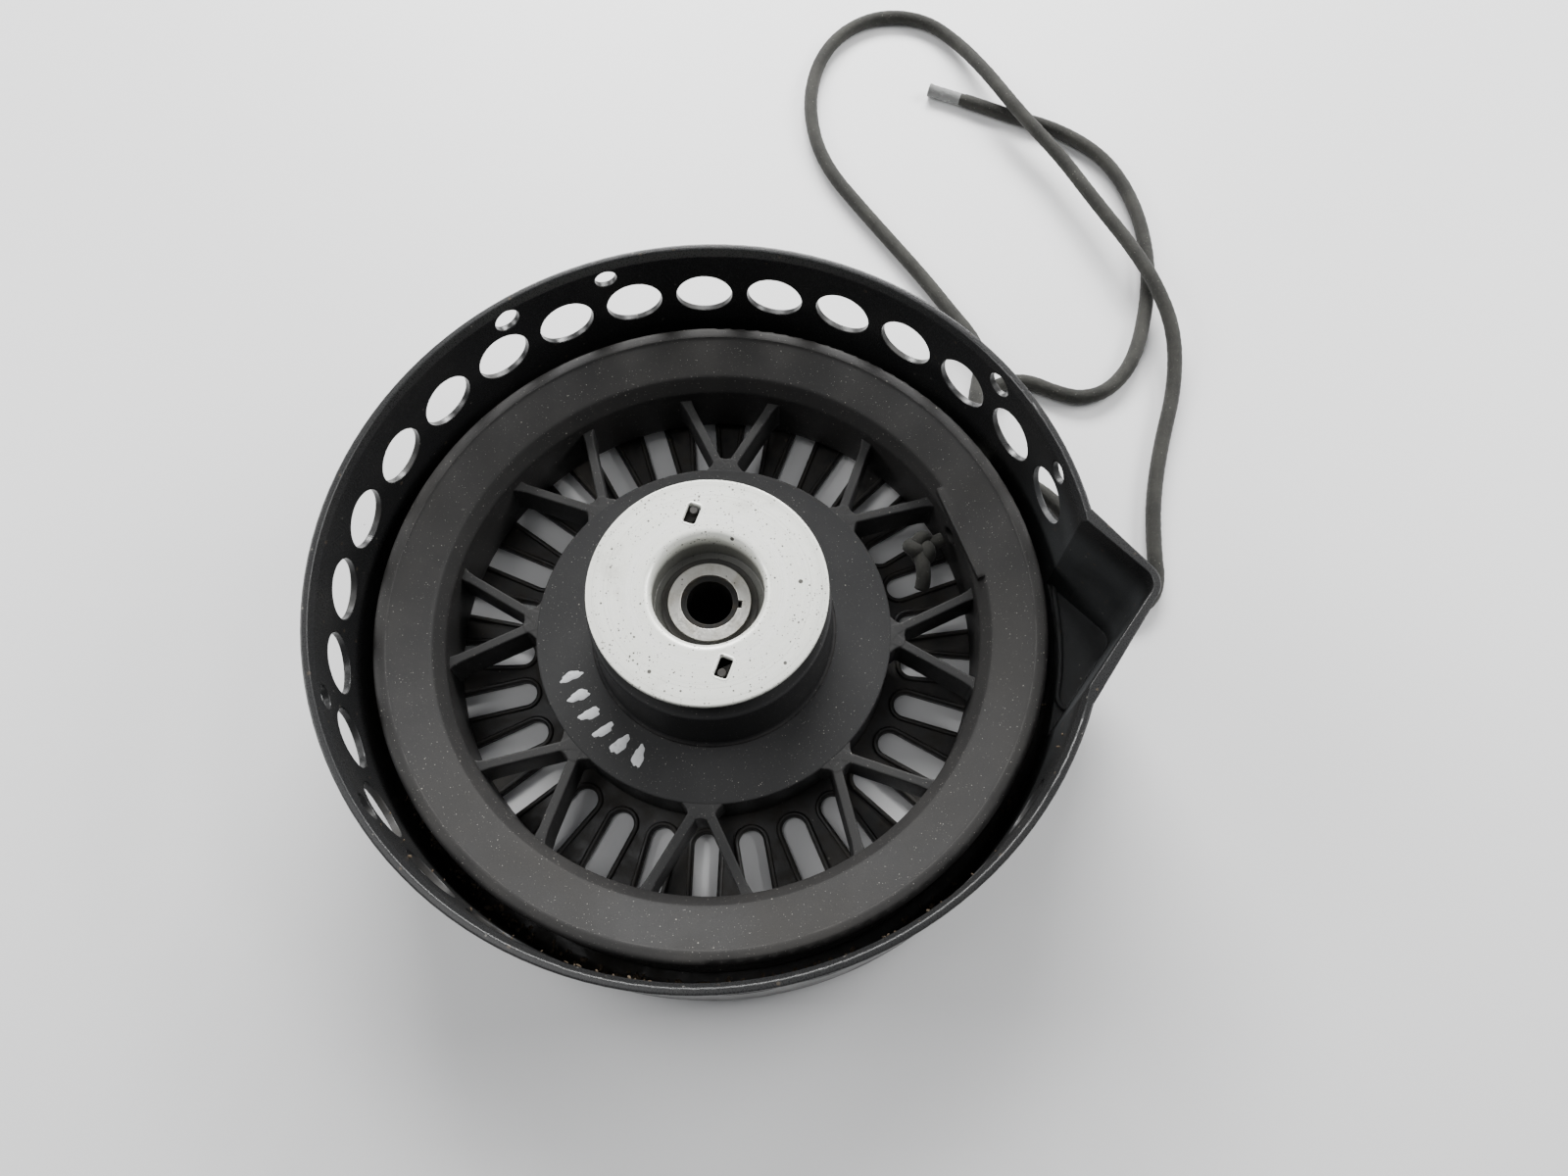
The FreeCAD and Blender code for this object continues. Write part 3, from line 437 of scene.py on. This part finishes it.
def washer_nylon(name, colour, stained):
    shade = Shade(name, colour, 0.55)
    shade.soften(0.0003)
    grain = shade.noise(2400, 3, 0.6)
    shade.tint(shade.range(shade.noise(200, 5, 0.6), 0.4, 0.7), stained, 0.6)
    shade.roughen(shade.range(grain, 0.4, 0.7), 0.15)
    shade.bump(grain, 0.00004, 0.4)
    return shade.material


def braid(name, dark, light, fleck, scale=1.0):
    """Braided polyester sheath, greyed by handling."""
    shade = Shade(name, dark, 0.80, specular=0.25)
    shade.skin.inputs["Sheen Weight"].default_value = 0.12
    shade.skin.inputs["Sheen Roughness"].default_value = 0.5
    filaments = shade.noise(3600 * scale, 3, 0.7)
    handled = shade.noise(90, 5, 0.6)
    yarns = shade.noise(1100 * scale, 2, 0.6, offset=6)
    shade.tint(shade.range(handled, 0.35, 0.72), light, 0.75)
    shade.tint(shade.range(yarns, 0.55, 0.72), light, 0.6)
    shade.tint(shade.range(filaments, 0.60, 0.75), fleck, 0.45)
    shade.tint(shade.specks(1500, 0.06, offset=5), fleck, 0.7)
    shade.roughen(shade.range(filaments, 0.4, 0.7), 0.12)
    shade.bump(filaments, 0.00008, 0.7)
    return shade.material


def paint_dab():
    shade = Shade("white_marker_paint", (0.62, 0.63, 0.64), 0.55)
    thin = shade.noise(520, 5, 0.7)
    shade.tint(shade.range(thin, 0.52, 0.72), (0.30, 0.30, 0.31), 0.7)
    shade.roughen(shade.range(thin, 0.4, 0.7), 0.15)
    shade.bump(thin, 0.00006, 0.5)
    return shade.material


def dry_dirt():
    shade = Shade("dry_dirt", (0.070, 0.052, 0.035), 0.95, specular=0.2)
    lumps = shade.noise(1400, 4, 0.7)
    shade.tint(shade.range(lumps, 0.4, 0.7), (0.15, 0.12, 0.085), 0.8)
    shade.roughen(lumps, 0.05)
    shade.bump(lumps, 0.0002, 0.8)
    return shade.material


PAINT = black_paint()
FLANGE = black_nylon(
    "dusty_flange_plastic",
    colour=(0.0185, 0.0180, 0.0178),
    warm=(0.026, 0.0245, 0.0235),
    dusty=(0.046, 0.0435, 0.040),
    rounding=0.0017,
)
SPOKE = black_nylon(
    "spoke_plastic",
    colour=(0.026, 0.026, 0.0263),
    warm=(0.033, 0.0325, 0.032),
    dusty=(0.058, 0.057, 0.055),
    rounding=0.0006,
)
HUB = black_nylon(
    "hub_plastic",
    colour=(0.0210, 0.0210, 0.0216),
    warm=(0.027, 0.027, 0.0275),
    dusty=(0.038, 0.0378, 0.0374),
    rounding=0.0009,
)
ZINC = zinc_plate()
SPRING = steel("blued_spring_steel", (0.20, 0.20, 0.21), 0.38, (0.10, 0.07, 0.045))
PAWL = steel("hardened_pawl_steel", (0.065, 0.063, 0.060), 0.50, (0.045, 0.038, 0.030))
POST = steel("oiled_post_steel", (0.030, 0.030, 0.029), 0.42, (0.055, 0.045, 0.034))
PLATED = steel("plated_fittings", (0.62, 0.61, 0.57), 0.34, (0.40, 0.37, 0.30))
BRONZE = soft_metal()
NYLON = washer_nylon("grey_nylon", (0.40, 0.39, 0.36), (0.28, 0.265, 0.235))
OILED = washer_nylon("oily_nylon", (0.040, 0.039, 0.036), (0.065, 0.058, 0.048))
ROPE = braid("dark_braid", (0.018, 0.0178, 0.0155), (0.042, 0.0415, 0.036), (0.15, 0.145, 0.125))
ROPE_TIP = braid("melted_rope_tip", (0.15, 0.152, 0.148), (0.27, 0.275, 0.27), (0.42, 0.42, 0.40), 0.4)
DAB = paint_dab()
DIRT = dry_dirt()

FINISH = {
    "drum_floor": PAINT,
    "drum_wall": PAINT,
    "centre_post": POST,
    "thrust_washer": NYLON,
    "retaining_ring": PLATED,
    "rope_guide": NYLON,
    "reel_rim": FLANGE,
    "reel_spokes": HUB,
    "reel_hub": HUB,
    "reel_boss": HUB,
    "reel_bush": BRONZE,
    "spring_cover": PLATED,
    "cover_screws": PLATED,
    "spring_anchor": SPRING,
    "recoil_spring": SPRING,
    "wound_rope": ROPE,
    "rope_knot": ROPE,
    "rope_run": ROPE,
    "friction_plate": ZINC,
    "friction_washer": OILED,
    "pawl_a": PAWL,
    "pawl_b": PAWL,
    "pawl_spring_a": SPRING,
    "pawl_spring_b": SPRING,
    "pawl_pins": PLATED,
    "brake_spring": SPRING,
}
for name, material in FINISH.items():
    mesh = nodes[name].data
    mesh.materials.clear()
    mesh.materials.append(material)


# ---------------------------------------------------------------- starter rope
ROPE_ROUTE = [
    (82.0, 69.2, 15.8),
    (82.2, 79.5, 14.2),
    (84.6, 89.8, 10.8),
    (87.0, 100.0, 8.2),
    (84.5, 111.5, 4.8),
    (78.5, 122.5, 2.8),
    (69.0, 138.0, 2.6),
    (52.0, 162.0, 2.7),
    (34.5, 188.0, 2.6),
    (29.5, 214.0, 2.6),
    (33.0, 236.0, 2.7),
    (42.5, 252.0, 2.6),
    (58.0, 261.0, 2.6),
    (75.5, 258.5, 2.7),
    (88.0, 245.5, 3.2),
    (96.5, 229.5, 6.0),
    (103.0, 214.0, 8.8),
    (111.0, 200.5, 8.8),
    (121.0, 186.0, 8.2),
    (131.5, 166.0, 8.0),
    (142.0, 146.0, 8.8),
    (149.0, 129.0, 8.8),
    (153.5, 112.0, 6.6),
    (152.0, 92.0, 3.2),
    (145.0, 71.0, 2.6),
    (140.0, 51.0, 2.6),
    (138.2, 34.0, 2.7),
    (138.0, 19.4, 2.6),
    (131.2, 12.4, 2.6),
    (121.6, 12.4, 2.7),
    (114.8, 19.4, 2.6),
    (115.2, 31.0, 2.6),
    (113.2, 43.0, 2.7),
    (106.0, 52.3, 2.6),
    (96.0, 59.3, 2.6),
    (88.6, 67.0, 2.7),
    (85.2, 76.0, 2.6),
    (85.6, 85.5, 2.6),
    (92.0, 94.0, 2.7),
    (102.3, 95.6, 2.6),
    (111.5, 90.9, 2.6),
    (120.8, 88.2, 2.7),
    (131.2, 92.2, 2.6),
    (140.8, 105.0, 2.6),
    (148.0, 131.0, 2.6),
    (149.5, 152.0, 2.6),
    (146.5, 173.0, 2.6),
    (138.0, 191.5, 2.6),
    (122.5, 204.0, 2.6),
    (105.0, 210.5, 2.6),
    (90.0, 217.5, 2.6),
    (75.5, 223.2, 2.6),
]
rope_line = smooth_line("rope_line", [Vector(place) * MM for place in ROPE_ROUTE])
ROPE_RADIUS = 2.5 * MM
ROPE_LENGTH = sum((b - a).length for a, b in zip(rope_line, rope_line[1:]))
TIP_LENGTH = 14 * MM


def tip_squeeze(gone):
    """The last of the rope is melted slim and slightly flared at the cut."""
    left = ROPE_LENGTH - gone
    if left > TIP_LENGTH:
        return 1.0
    return 0.90 + 0.08 * math.exp(-left / (1.5 * MM)) + 0.02 * math.sin(left * 2600)


rope_mesh = braided_tube(
    "starter_rope_braid",
    evenly(rope_line, 0.62 * MM),
    ROPE_RADIUS,
    sides=32,
    crush=tip_squeeze,
)
rope = new_object("starter_rope_braid", rope_mesh, ROPE, "housing")
rope_mesh.materials.append(ROPE_TIP)
tip = rope_line[-1]
for face in rope_mesh.polygons:
    if (face.center - tip).length < TIP_LENGTH - 1.5 * MM:
        face.material_index = 1
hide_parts("starter_rope")
[tuple(place) for place in evenly(rope_line, 2 * MM)]


# ---------------------------------------------------------------- reel mouldings
SPOKE_COUNT = 8
SPOKE_FIRST = -2.4
SPOKE_ROOT = 50.2
SPOKE_LEAN = 28.3
SPOKE_LENGTH = 30.9
SPOKE_WIDTH = 2.8
SPOKE_FLARE = 1.5
SPOKE_BOTTOM = 9.0
HUB_TOP = 21.7
HUB_RADIUS = 51.9
SPOKE_TOP = HUB_TOP - 0.12
WEB_TOP = HUB_TOP - 0.08
WEB_HALF = [(-1.4, 7.6), (-0.2, 5.6), (1.3, 4.3), (3.4, 3.4), (4.2, 1.6)]
WEB_MIDDLE = [(3.9, 0.0)]


def add_prism(bm, outline, low, high):
    """Adds an upright prism between two heights in millimetres."""
    foot, head = (
        [bm.verts.new((corner.x * MM, corner.y * MM, height * MM)) for corner in outline]
        for height in (low, high)
    )
    count = len(outline)
    for k in range(count):
        bm.faces.new((foot[k], foot[(k + 1) % count], head[(k + 1) % count], head[k]))
    bm.faces.new(head)
    bm.faces.new(foot[::-1])


def turned(x, y, azimuth):
    """A plan point turned round the reel's axis."""
    turn = math.radians(azimuth)
    return Vector((x * math.cos(turn) - y * math.sin(turn), x * math.sin(turn) + y * math.cos(turn)))


def spoke_outline(azimuth, lean):
    """One spoke from the hub's edge to the rim, as a plan outline with a flared root and tip."""
    half = SPOKE_WIDTH / 2
    flare = SPOKE_FLARE
    across = [
        (0.8, half + flare * 0.9),
        (2.6, half + flare * 0.32),
        (5.2, half),
        (SPOKE_LENGTH - 5.0, half),
        (SPOKE_LENGTH - 2.2, half + flare * 0.20),
        (SPOKE_LENGTH - 0.3, half + flare * 0.75),
    ]
    root = turned(SPOKE_ROOT, 0, azimuth)
    outline = [(along, -wide) for along, wide in across]
    outline += [(along, wide) for along, wide in reversed(across)]
    return [root + turned(along, side, azimuth + lean) for along, side in outline]


bm = bmesh.new()
for number in range(SPOKE_COUNT):
    azimuth = SPOKE_FIRST + 360 / SPOKE_COUNT * number
    for lean in (-SPOKE_LEAN, SPOKE_LEAN):
        add_prism(bm, spoke_outline(azimuth, lean), SPOKE_BOTTOM, SPOKE_TOP)
    web = [(out, -side) for out, side in WEB_HALF] + WEB_MIDDLE + WEB_HALF[::-1]
    web_outline = [turned(HUB_RADIUS + out, side, azimuth) for out, side in web]
    add_prism(bm, web_outline, SPOKE_BOTTOM, WEB_TOP)
bmesh.ops.recalc_face_normals(bm, faces=bm.faces)
spoke_mesh = mesh_from("reel_spokes_moulded", bm, smooth=False)
spokes = new_object("reel_spokes_moulded", spoke_mesh, SPOKE, "reel")
rounding = spokes.modifiers.new("rounding", "BEVEL")
rounding.width = 0.45 * MM
rounding.segments = 3
rounding.limit_method = "ANGLE"
rounding.angle_limit = math.radians(50)
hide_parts("reel_spokes")


# ---------------------------------------------------------------- pressed lips of the drum
def smooth_tube(name, places, radius, sides=12, closed=False):
    """A plain round bar along a line; a closed one joins its ends."""
    bm = bmesh.new()
    rings = []
    count = len(places)
    for i, place in enumerate(places):
        ahead = places[(i + 1) % count] if closed else places[min(i + 1, count - 1)]
        behind = places[i - 1] if closed else places[max(i - 1, 0)]
        forward = (ahead - behind).normalized()
        side = Vector((0, 0, 1)).cross(forward).normalized()
        other = forward.cross(side)
        ring = []
        for k in range(sides):
            turn = 2 * math.pi * k / sides
            ring.append(bm.verts.new(place + (side * math.cos(turn) + other * math.sin(turn)) * radius))
        rings.append(ring)
    pairs = list(zip(rings, rings[1:]))
    if closed:
        pairs.append((rings[-1], rings[0]))
    else:
        bm.faces.new(rings[0][::-1])
        bm.faces.new(rings[-1])
    for one, two in pairs:
        for k in range(sides):
            bm.faces.new((one[k], one[(k + 1) % sides], two[(k + 1) % sides], two[k]))
    bmesh.ops.recalc_face_normals(bm, faces=bm.faces)
    return mesh_from(name, bm)


BEAD_TOP = 18.9
BEAD_RADIUS = 0.85 * MM
BEAD_ROUTE = [
    (103.4, 21.0),
    (101.3, 17.4),
    (101.0, 12.0),
    (101.5, 3.0),
    (101.3, -7.0),
    (100.3, -15.0),
    (98.9, -20.6),
    (100.3, -24.0),
    (102.6, -24.2),
]
bead_line = smooth_line("bead_line", [Vector((x, y, BEAD_TOP)) * MM for x, y in BEAD_ROUTE])
bead_mesh = smooth_tube("pocket_rolled_bead", evenly(bead_line, 0.8 * MM), BEAD_RADIUS)
new_object("pocket_rolled_bead", bead_mesh, PAINT, "housing")

SLOT_COUNT = 29
SLOT_FIRST = 7.5
SLOT_START = 60.0
SLOT_END = 88.0
SLOT_LIP = 4.5
FLOOR_TOP = 1.8
LIP_HEIGHT = FLOOR_TOP + 0.15
LIP_RADIUS = 0.75 * MM
LIP_STEPS = 12
lips = bmesh.new()
for number in range(SLOT_COUNT):
    azimuth = SLOT_FIRST + 360 / SLOT_COUNT * number
    outline = []
    for centre, start in ((SLOT_END, -90), (SLOT_START, 90)):
        for k in range(LIP_STEPS + 1):
            turn = math.radians(start + 180 * k / LIP_STEPS)
            flat = turned(centre + SLOT_LIP * math.cos(turn), SLOT_LIP * math.sin(turn), azimuth)
            outline.append(Vector((flat.x, flat.y, LIP_HEIGHT)) * MM)
    ring = smooth_tube("slot_lip", outline, LIP_RADIUS, sides=10, closed=True)
    lips.from_mesh(ring)
    bpy.data.meshes.remove(ring)
new_object("floor_slot_lips", mesh_from("floor_slot_lips", lips), PAINT, "housing")


# ---------------------------------------------------------------- friction plate's slot edges
CAM_PLACE = 22.6
CAM_AZIMUTH = 102.2
CAM_LEAN = -31.7
PLATE_TOP = 52.7


def rounded_box(length, width, corner, steps=6):
    """A rounded rectangle round the origin, in millimetres."""
    outline = []
    for x, y, start in ((1, 1, 0), (-1, 1, 90), (-1, -1, 180), (1, -1, 270)):
        for k in range(steps + 1):
            turn = math.radians(start + 90 * k / steps)
            outline.append((
                x * (length / 2 - corner) + corner * math.cos(turn),
                y * (width / 2 - corner) + corner * math.sin(turn),
            ))
    return outline


bm = bmesh.new()
for half_turn in (0, 180):
    middle = turned(CAM_PLACE, 0, CAM_AZIMUTH + half_turn)
    rings = []
    for length, width, corner, height in (
        (7.2, 5.1, 1.6, PLATE_TOP + 0.01),
        (6.5, 4.4, 1.2, PLATE_TOP + 0.18),
        (5.9, 3.8, 0.8, PLATE_TOP + 0.10),
        (5.75, 3.65, 0.8, PLATE_TOP - 1.0),
    ):
        ring = []
        for x, y in rounded_box(length, width, corner):
            flat = middle + turned(x, y, CAM_AZIMUTH + half_turn + CAM_LEAN)
            ring.append(bm.verts.new((flat.x * MM, flat.y * MM, height * MM)))
        rings.append(ring)
    for one, two in zip(rings, rings[1:]):
        for k in range(len(one)):
            bm.faces.new((one[k], one[(k + 1) % len(one)], two[(k + 1) % len(two)], two[k]))
bmesh.ops.recalc_face_normals(bm, faces=bm.faces)
new_object("cam_slot_edges", mesh_from("cam_slot_edges", bm), ZINC, "friction_plate")


# ---------------------------------------------------------------- knot in the reel
KNOT_AZIMUTH = 23
KNOT_PLACE = polar(67.2, KNOT_AZIMUTH, 19.4)
KNOT_STEPS = 18
KNOT_ROPE = 2.35 * MM
TAIL_ROPE = 2.3 * MM
knot_out = polar(1000, KNOT_AZIMUTH, 0).normalized()
knot_side = Vector((-knot_out.y, knot_out.x, 0))
knot_points = []
for k in range(KNOT_STEPS):
    turn = 2 * math.pi * k / KNOT_STEPS
    a = (math.sin(turn) + 2 * math.sin(2 * turn)) * 1.12
    b = (math.cos(turn) - 2 * math.cos(2 * turn)) * 1.25
    c = -math.sin(3 * turn) * 1.75
    knot_points.append(KNOT_PLACE + (knot_out * a + knot_side * b + Vector((0, 0, c))) * MM)
knot_line = smooth_line("knot_line", knot_points, closed=True)
knot_line.append(knot_line[0])


def knot_piece(name, line, radius):
    """A braided length of the knot, riding on the reel."""
    mesh = braided_tube(name, evenly(line, 0.5 * MM), radius, sides=28)
    return new_object(name, mesh, ROPE, "reel")


knot = knot_piece("rope_knot_tied", knot_line, KNOT_ROPE)
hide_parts("rope_knot")
tail_points = [
    KNOT_PLACE + knot_side * 2.5 * MM,
    KNOT_PLACE + knot_side * -4.5 * MM + knot_out * -1.5 * MM + Vector((0, 0, 1.2 * MM)),
    KNOT_PLACE + knot_side * -10.0 * MM + knot_out * -3.6 * MM + Vector((0, 0, -0.6 * MM)),
    KNOT_PLACE + knot_side * -11.5 * MM + knot_out * -5.0 * MM + Vector((0, 0, -2.2 * MM)),
]
knot_piece("rope_knot_tail", smooth_line("tail_line", tail_points), TAIL_ROPE)
neck_points = [KNOT_PLACE + knot_out * reach * MM for reach in (1.0, 5.5, 7.2)]
knot_piece("rope_knot_neck", smooth_line("neck_line", neck_points), TAIL_ROPE)


# ---------------------------------------------------------------- marker dabs on the hub
random.seed(7)
DAB_RADIUS = 43.4
DAB_FIRST = -159.9
DAB_STEP = 8.4
DAB_COUNT = 6
DAB_SIDES = 28
DAB_FOOT = HUB_TOP + 0.01
DAB_TOP = HUB_TOP + 0.09
DAB_TAPER = 0.86
bm = bmesh.new()
for number in range(DAB_COUNT):
    azimuth = DAB_FIRST + DAB_STEP * number
    middle = turned(DAB_RADIUS, 0, azimuth)
    long_way = 3.1 + 0.5 * random.random()
    short_way = 1.25 + 0.5 * random.random()
    lean = azimuth + random.uniform(-14, 14)
    ring = []
    for k in range(DAB_SIDES):
        turn = 2 * math.pi * k / DAB_SIDES
        wobble = 1 + 0.14 * math.sin(3 * turn + number) + 0.08 * math.sin(7 * turn + 2 * number)
        flat = turned(long_way * wobble * math.cos(turn), short_way * wobble * math.sin(turn), lean)
        ring.append(flat)
    low, high = (
        [bm.verts.new(Vector((*(middle + flat * size), height)) * MM) for flat in ring]
        for size, height in ((1.0, DAB_FOOT), (DAB_TAPER, DAB_TOP))
    )
    for k in range(DAB_SIDES):
        after = (k + 1) % DAB_SIDES
        bm.faces.new((low[k], low[after], high[after], high[k]))
    bm.faces.new(high)
bmesh.ops.recalc_face_normals(bm, faces=bm.faces)
new_object("hub_paint_dabs", mesh_from("hub_paint_dabs", bm), DAB, "reel")


# ---------------------------------------------------------------- dirt in the drum
def crumbs(name, seed, count, place_of, size_low, size_high, body):
    """Loose crumbs of dried grass and soil, each a small lumpy stone."""
    maker = random.Random(seed)
    bm = bmesh.new()
    for _ in range(count):
        place = place_of(maker)
        size = maker.uniform(size_low, size_high) * MM
        made = bmesh.ops.create_icosphere(bm, subdivisions=2, radius=size)
        stretch = Vector((maker.uniform(0.6, 2.4), maker.uniform(0.6, 1.3), maker.uniform(0.4, 0.8)))
        spin = Matrix.Rotation(maker.uniform(0, 2 * math.pi), 3, "Z")
        shift = maker.uniform(0, 50)
        for vert in made["verts"]:
            lump = 1 + 0.35 * noise.noise(vert.co * (700 + 200 * maker.random()) + Vector((shift, shift, 0)))
            vert.co = spin @ Vector([v * s * lump for v, s in zip(vert.co, stretch)]) + place
    return new_object(name, mesh_from(name, bm), DIRT, body)


def in_gap(maker):
    """Low in the gap between the wall and the reel, on the near side."""
    azimuth = maker.gauss(-100, 38)
    return polar(maker.uniform(97.0, 99.9), azimuth, maker.choice((6.6, 7.6, 9.0, 11.0)))


def on_wall_foot(maker):
    return polar(100.15, maker.gauss(-95, 34), maker.uniform(28, 60))


crumbs("gap_crumbs", 3, 170, in_gap, 0.25, 0.7, "housing")
crumbs("wall_crumbs", 5, 60, on_wall_foot, 0.12, 0.32, "housing")


# ---------------------------------------------------------------- table, lights
def table_surface():
    shade = Shade("pale_table", (0.80, 0.80, 0.80), 0.42, specular=0.45)
    shade.tint(shade.range(shade.noise(3.0, 3), 0.3, 0.8), (0.77, 0.77, 0.775), 0.6)
    shade.tint(shade.range(shade.noise(900, 3, 0.6), 0.5, 0.8), (0.74, 0.74, 0.74), 0.25)
    shade.roughen(shade.noise(300, 3), 0.12)
    shade.bump(shade.noise(1200, 2), 0.00003, 0.4)
    return shade.material


TABLE_REACH = 1.6
TABLE_DROP = 0.2 * MM
bm = bmesh.new()
bmesh.ops.create_grid(bm, x_segments=2, y_segments=2, size=TABLE_REACH)
table_mesh = mesh_from("table", bm, smooth=False)
table = bpy.data.objects.new("table", table_mesh)
bpy.context.scene.collection.objects.link(table)
table_mesh.materials.append(table_surface())
table.location = (0, 0, -TABLE_DROP)


def lamp(name, place, target, width, height, power, spread):
    """A soft rectangle of light aimed at a target, in watts and degrees."""
    data = bpy.data.lights.new(name, "AREA")
    data.shape = "RECTANGLE"
    data.size = width
    data.size_y = height
    data.energy = power
    data.spread = math.radians(spread)
    holder = bpy.data.objects.new(name, data)
    holder.location = place
    holder.rotation_euler = (Vector(target) - Vector(place)).to_track_quat("-Z", "Y").to_euler()
    bpy.context.scene.collection.objects.link(holder)


lamp("key", (0.0, 1.00, 0.62), (0.0, 0.32, 0.0), 0.9, 0.35, 14.5, 120)
lamp("side", (-0.85, 0.25, 0.60), (-0.15, 0.16, 0.0), 0.7, 0.4, 5.2, 150)
lamp("right", (0.90, 0.35, 0.62), (0.25, 0.18, 0.0), 0.7, 0.4, 8.2, 150)
lamp("overhead", (-0.34, 0.0, 1.10), (0.0, 0.08, 0.0), 0.4, 0.4, 0.3, 75)
world = bpy.data.worlds.new("studio")
world.use_nodes = True
sky = world.node_tree.nodes["Background"]
sky.inputs["Color"].default_value = (0.95, 0.97, 1.0, 1)
sky.inputs["Strength"].default_value = 0.27
bpy.context.scene.world = world
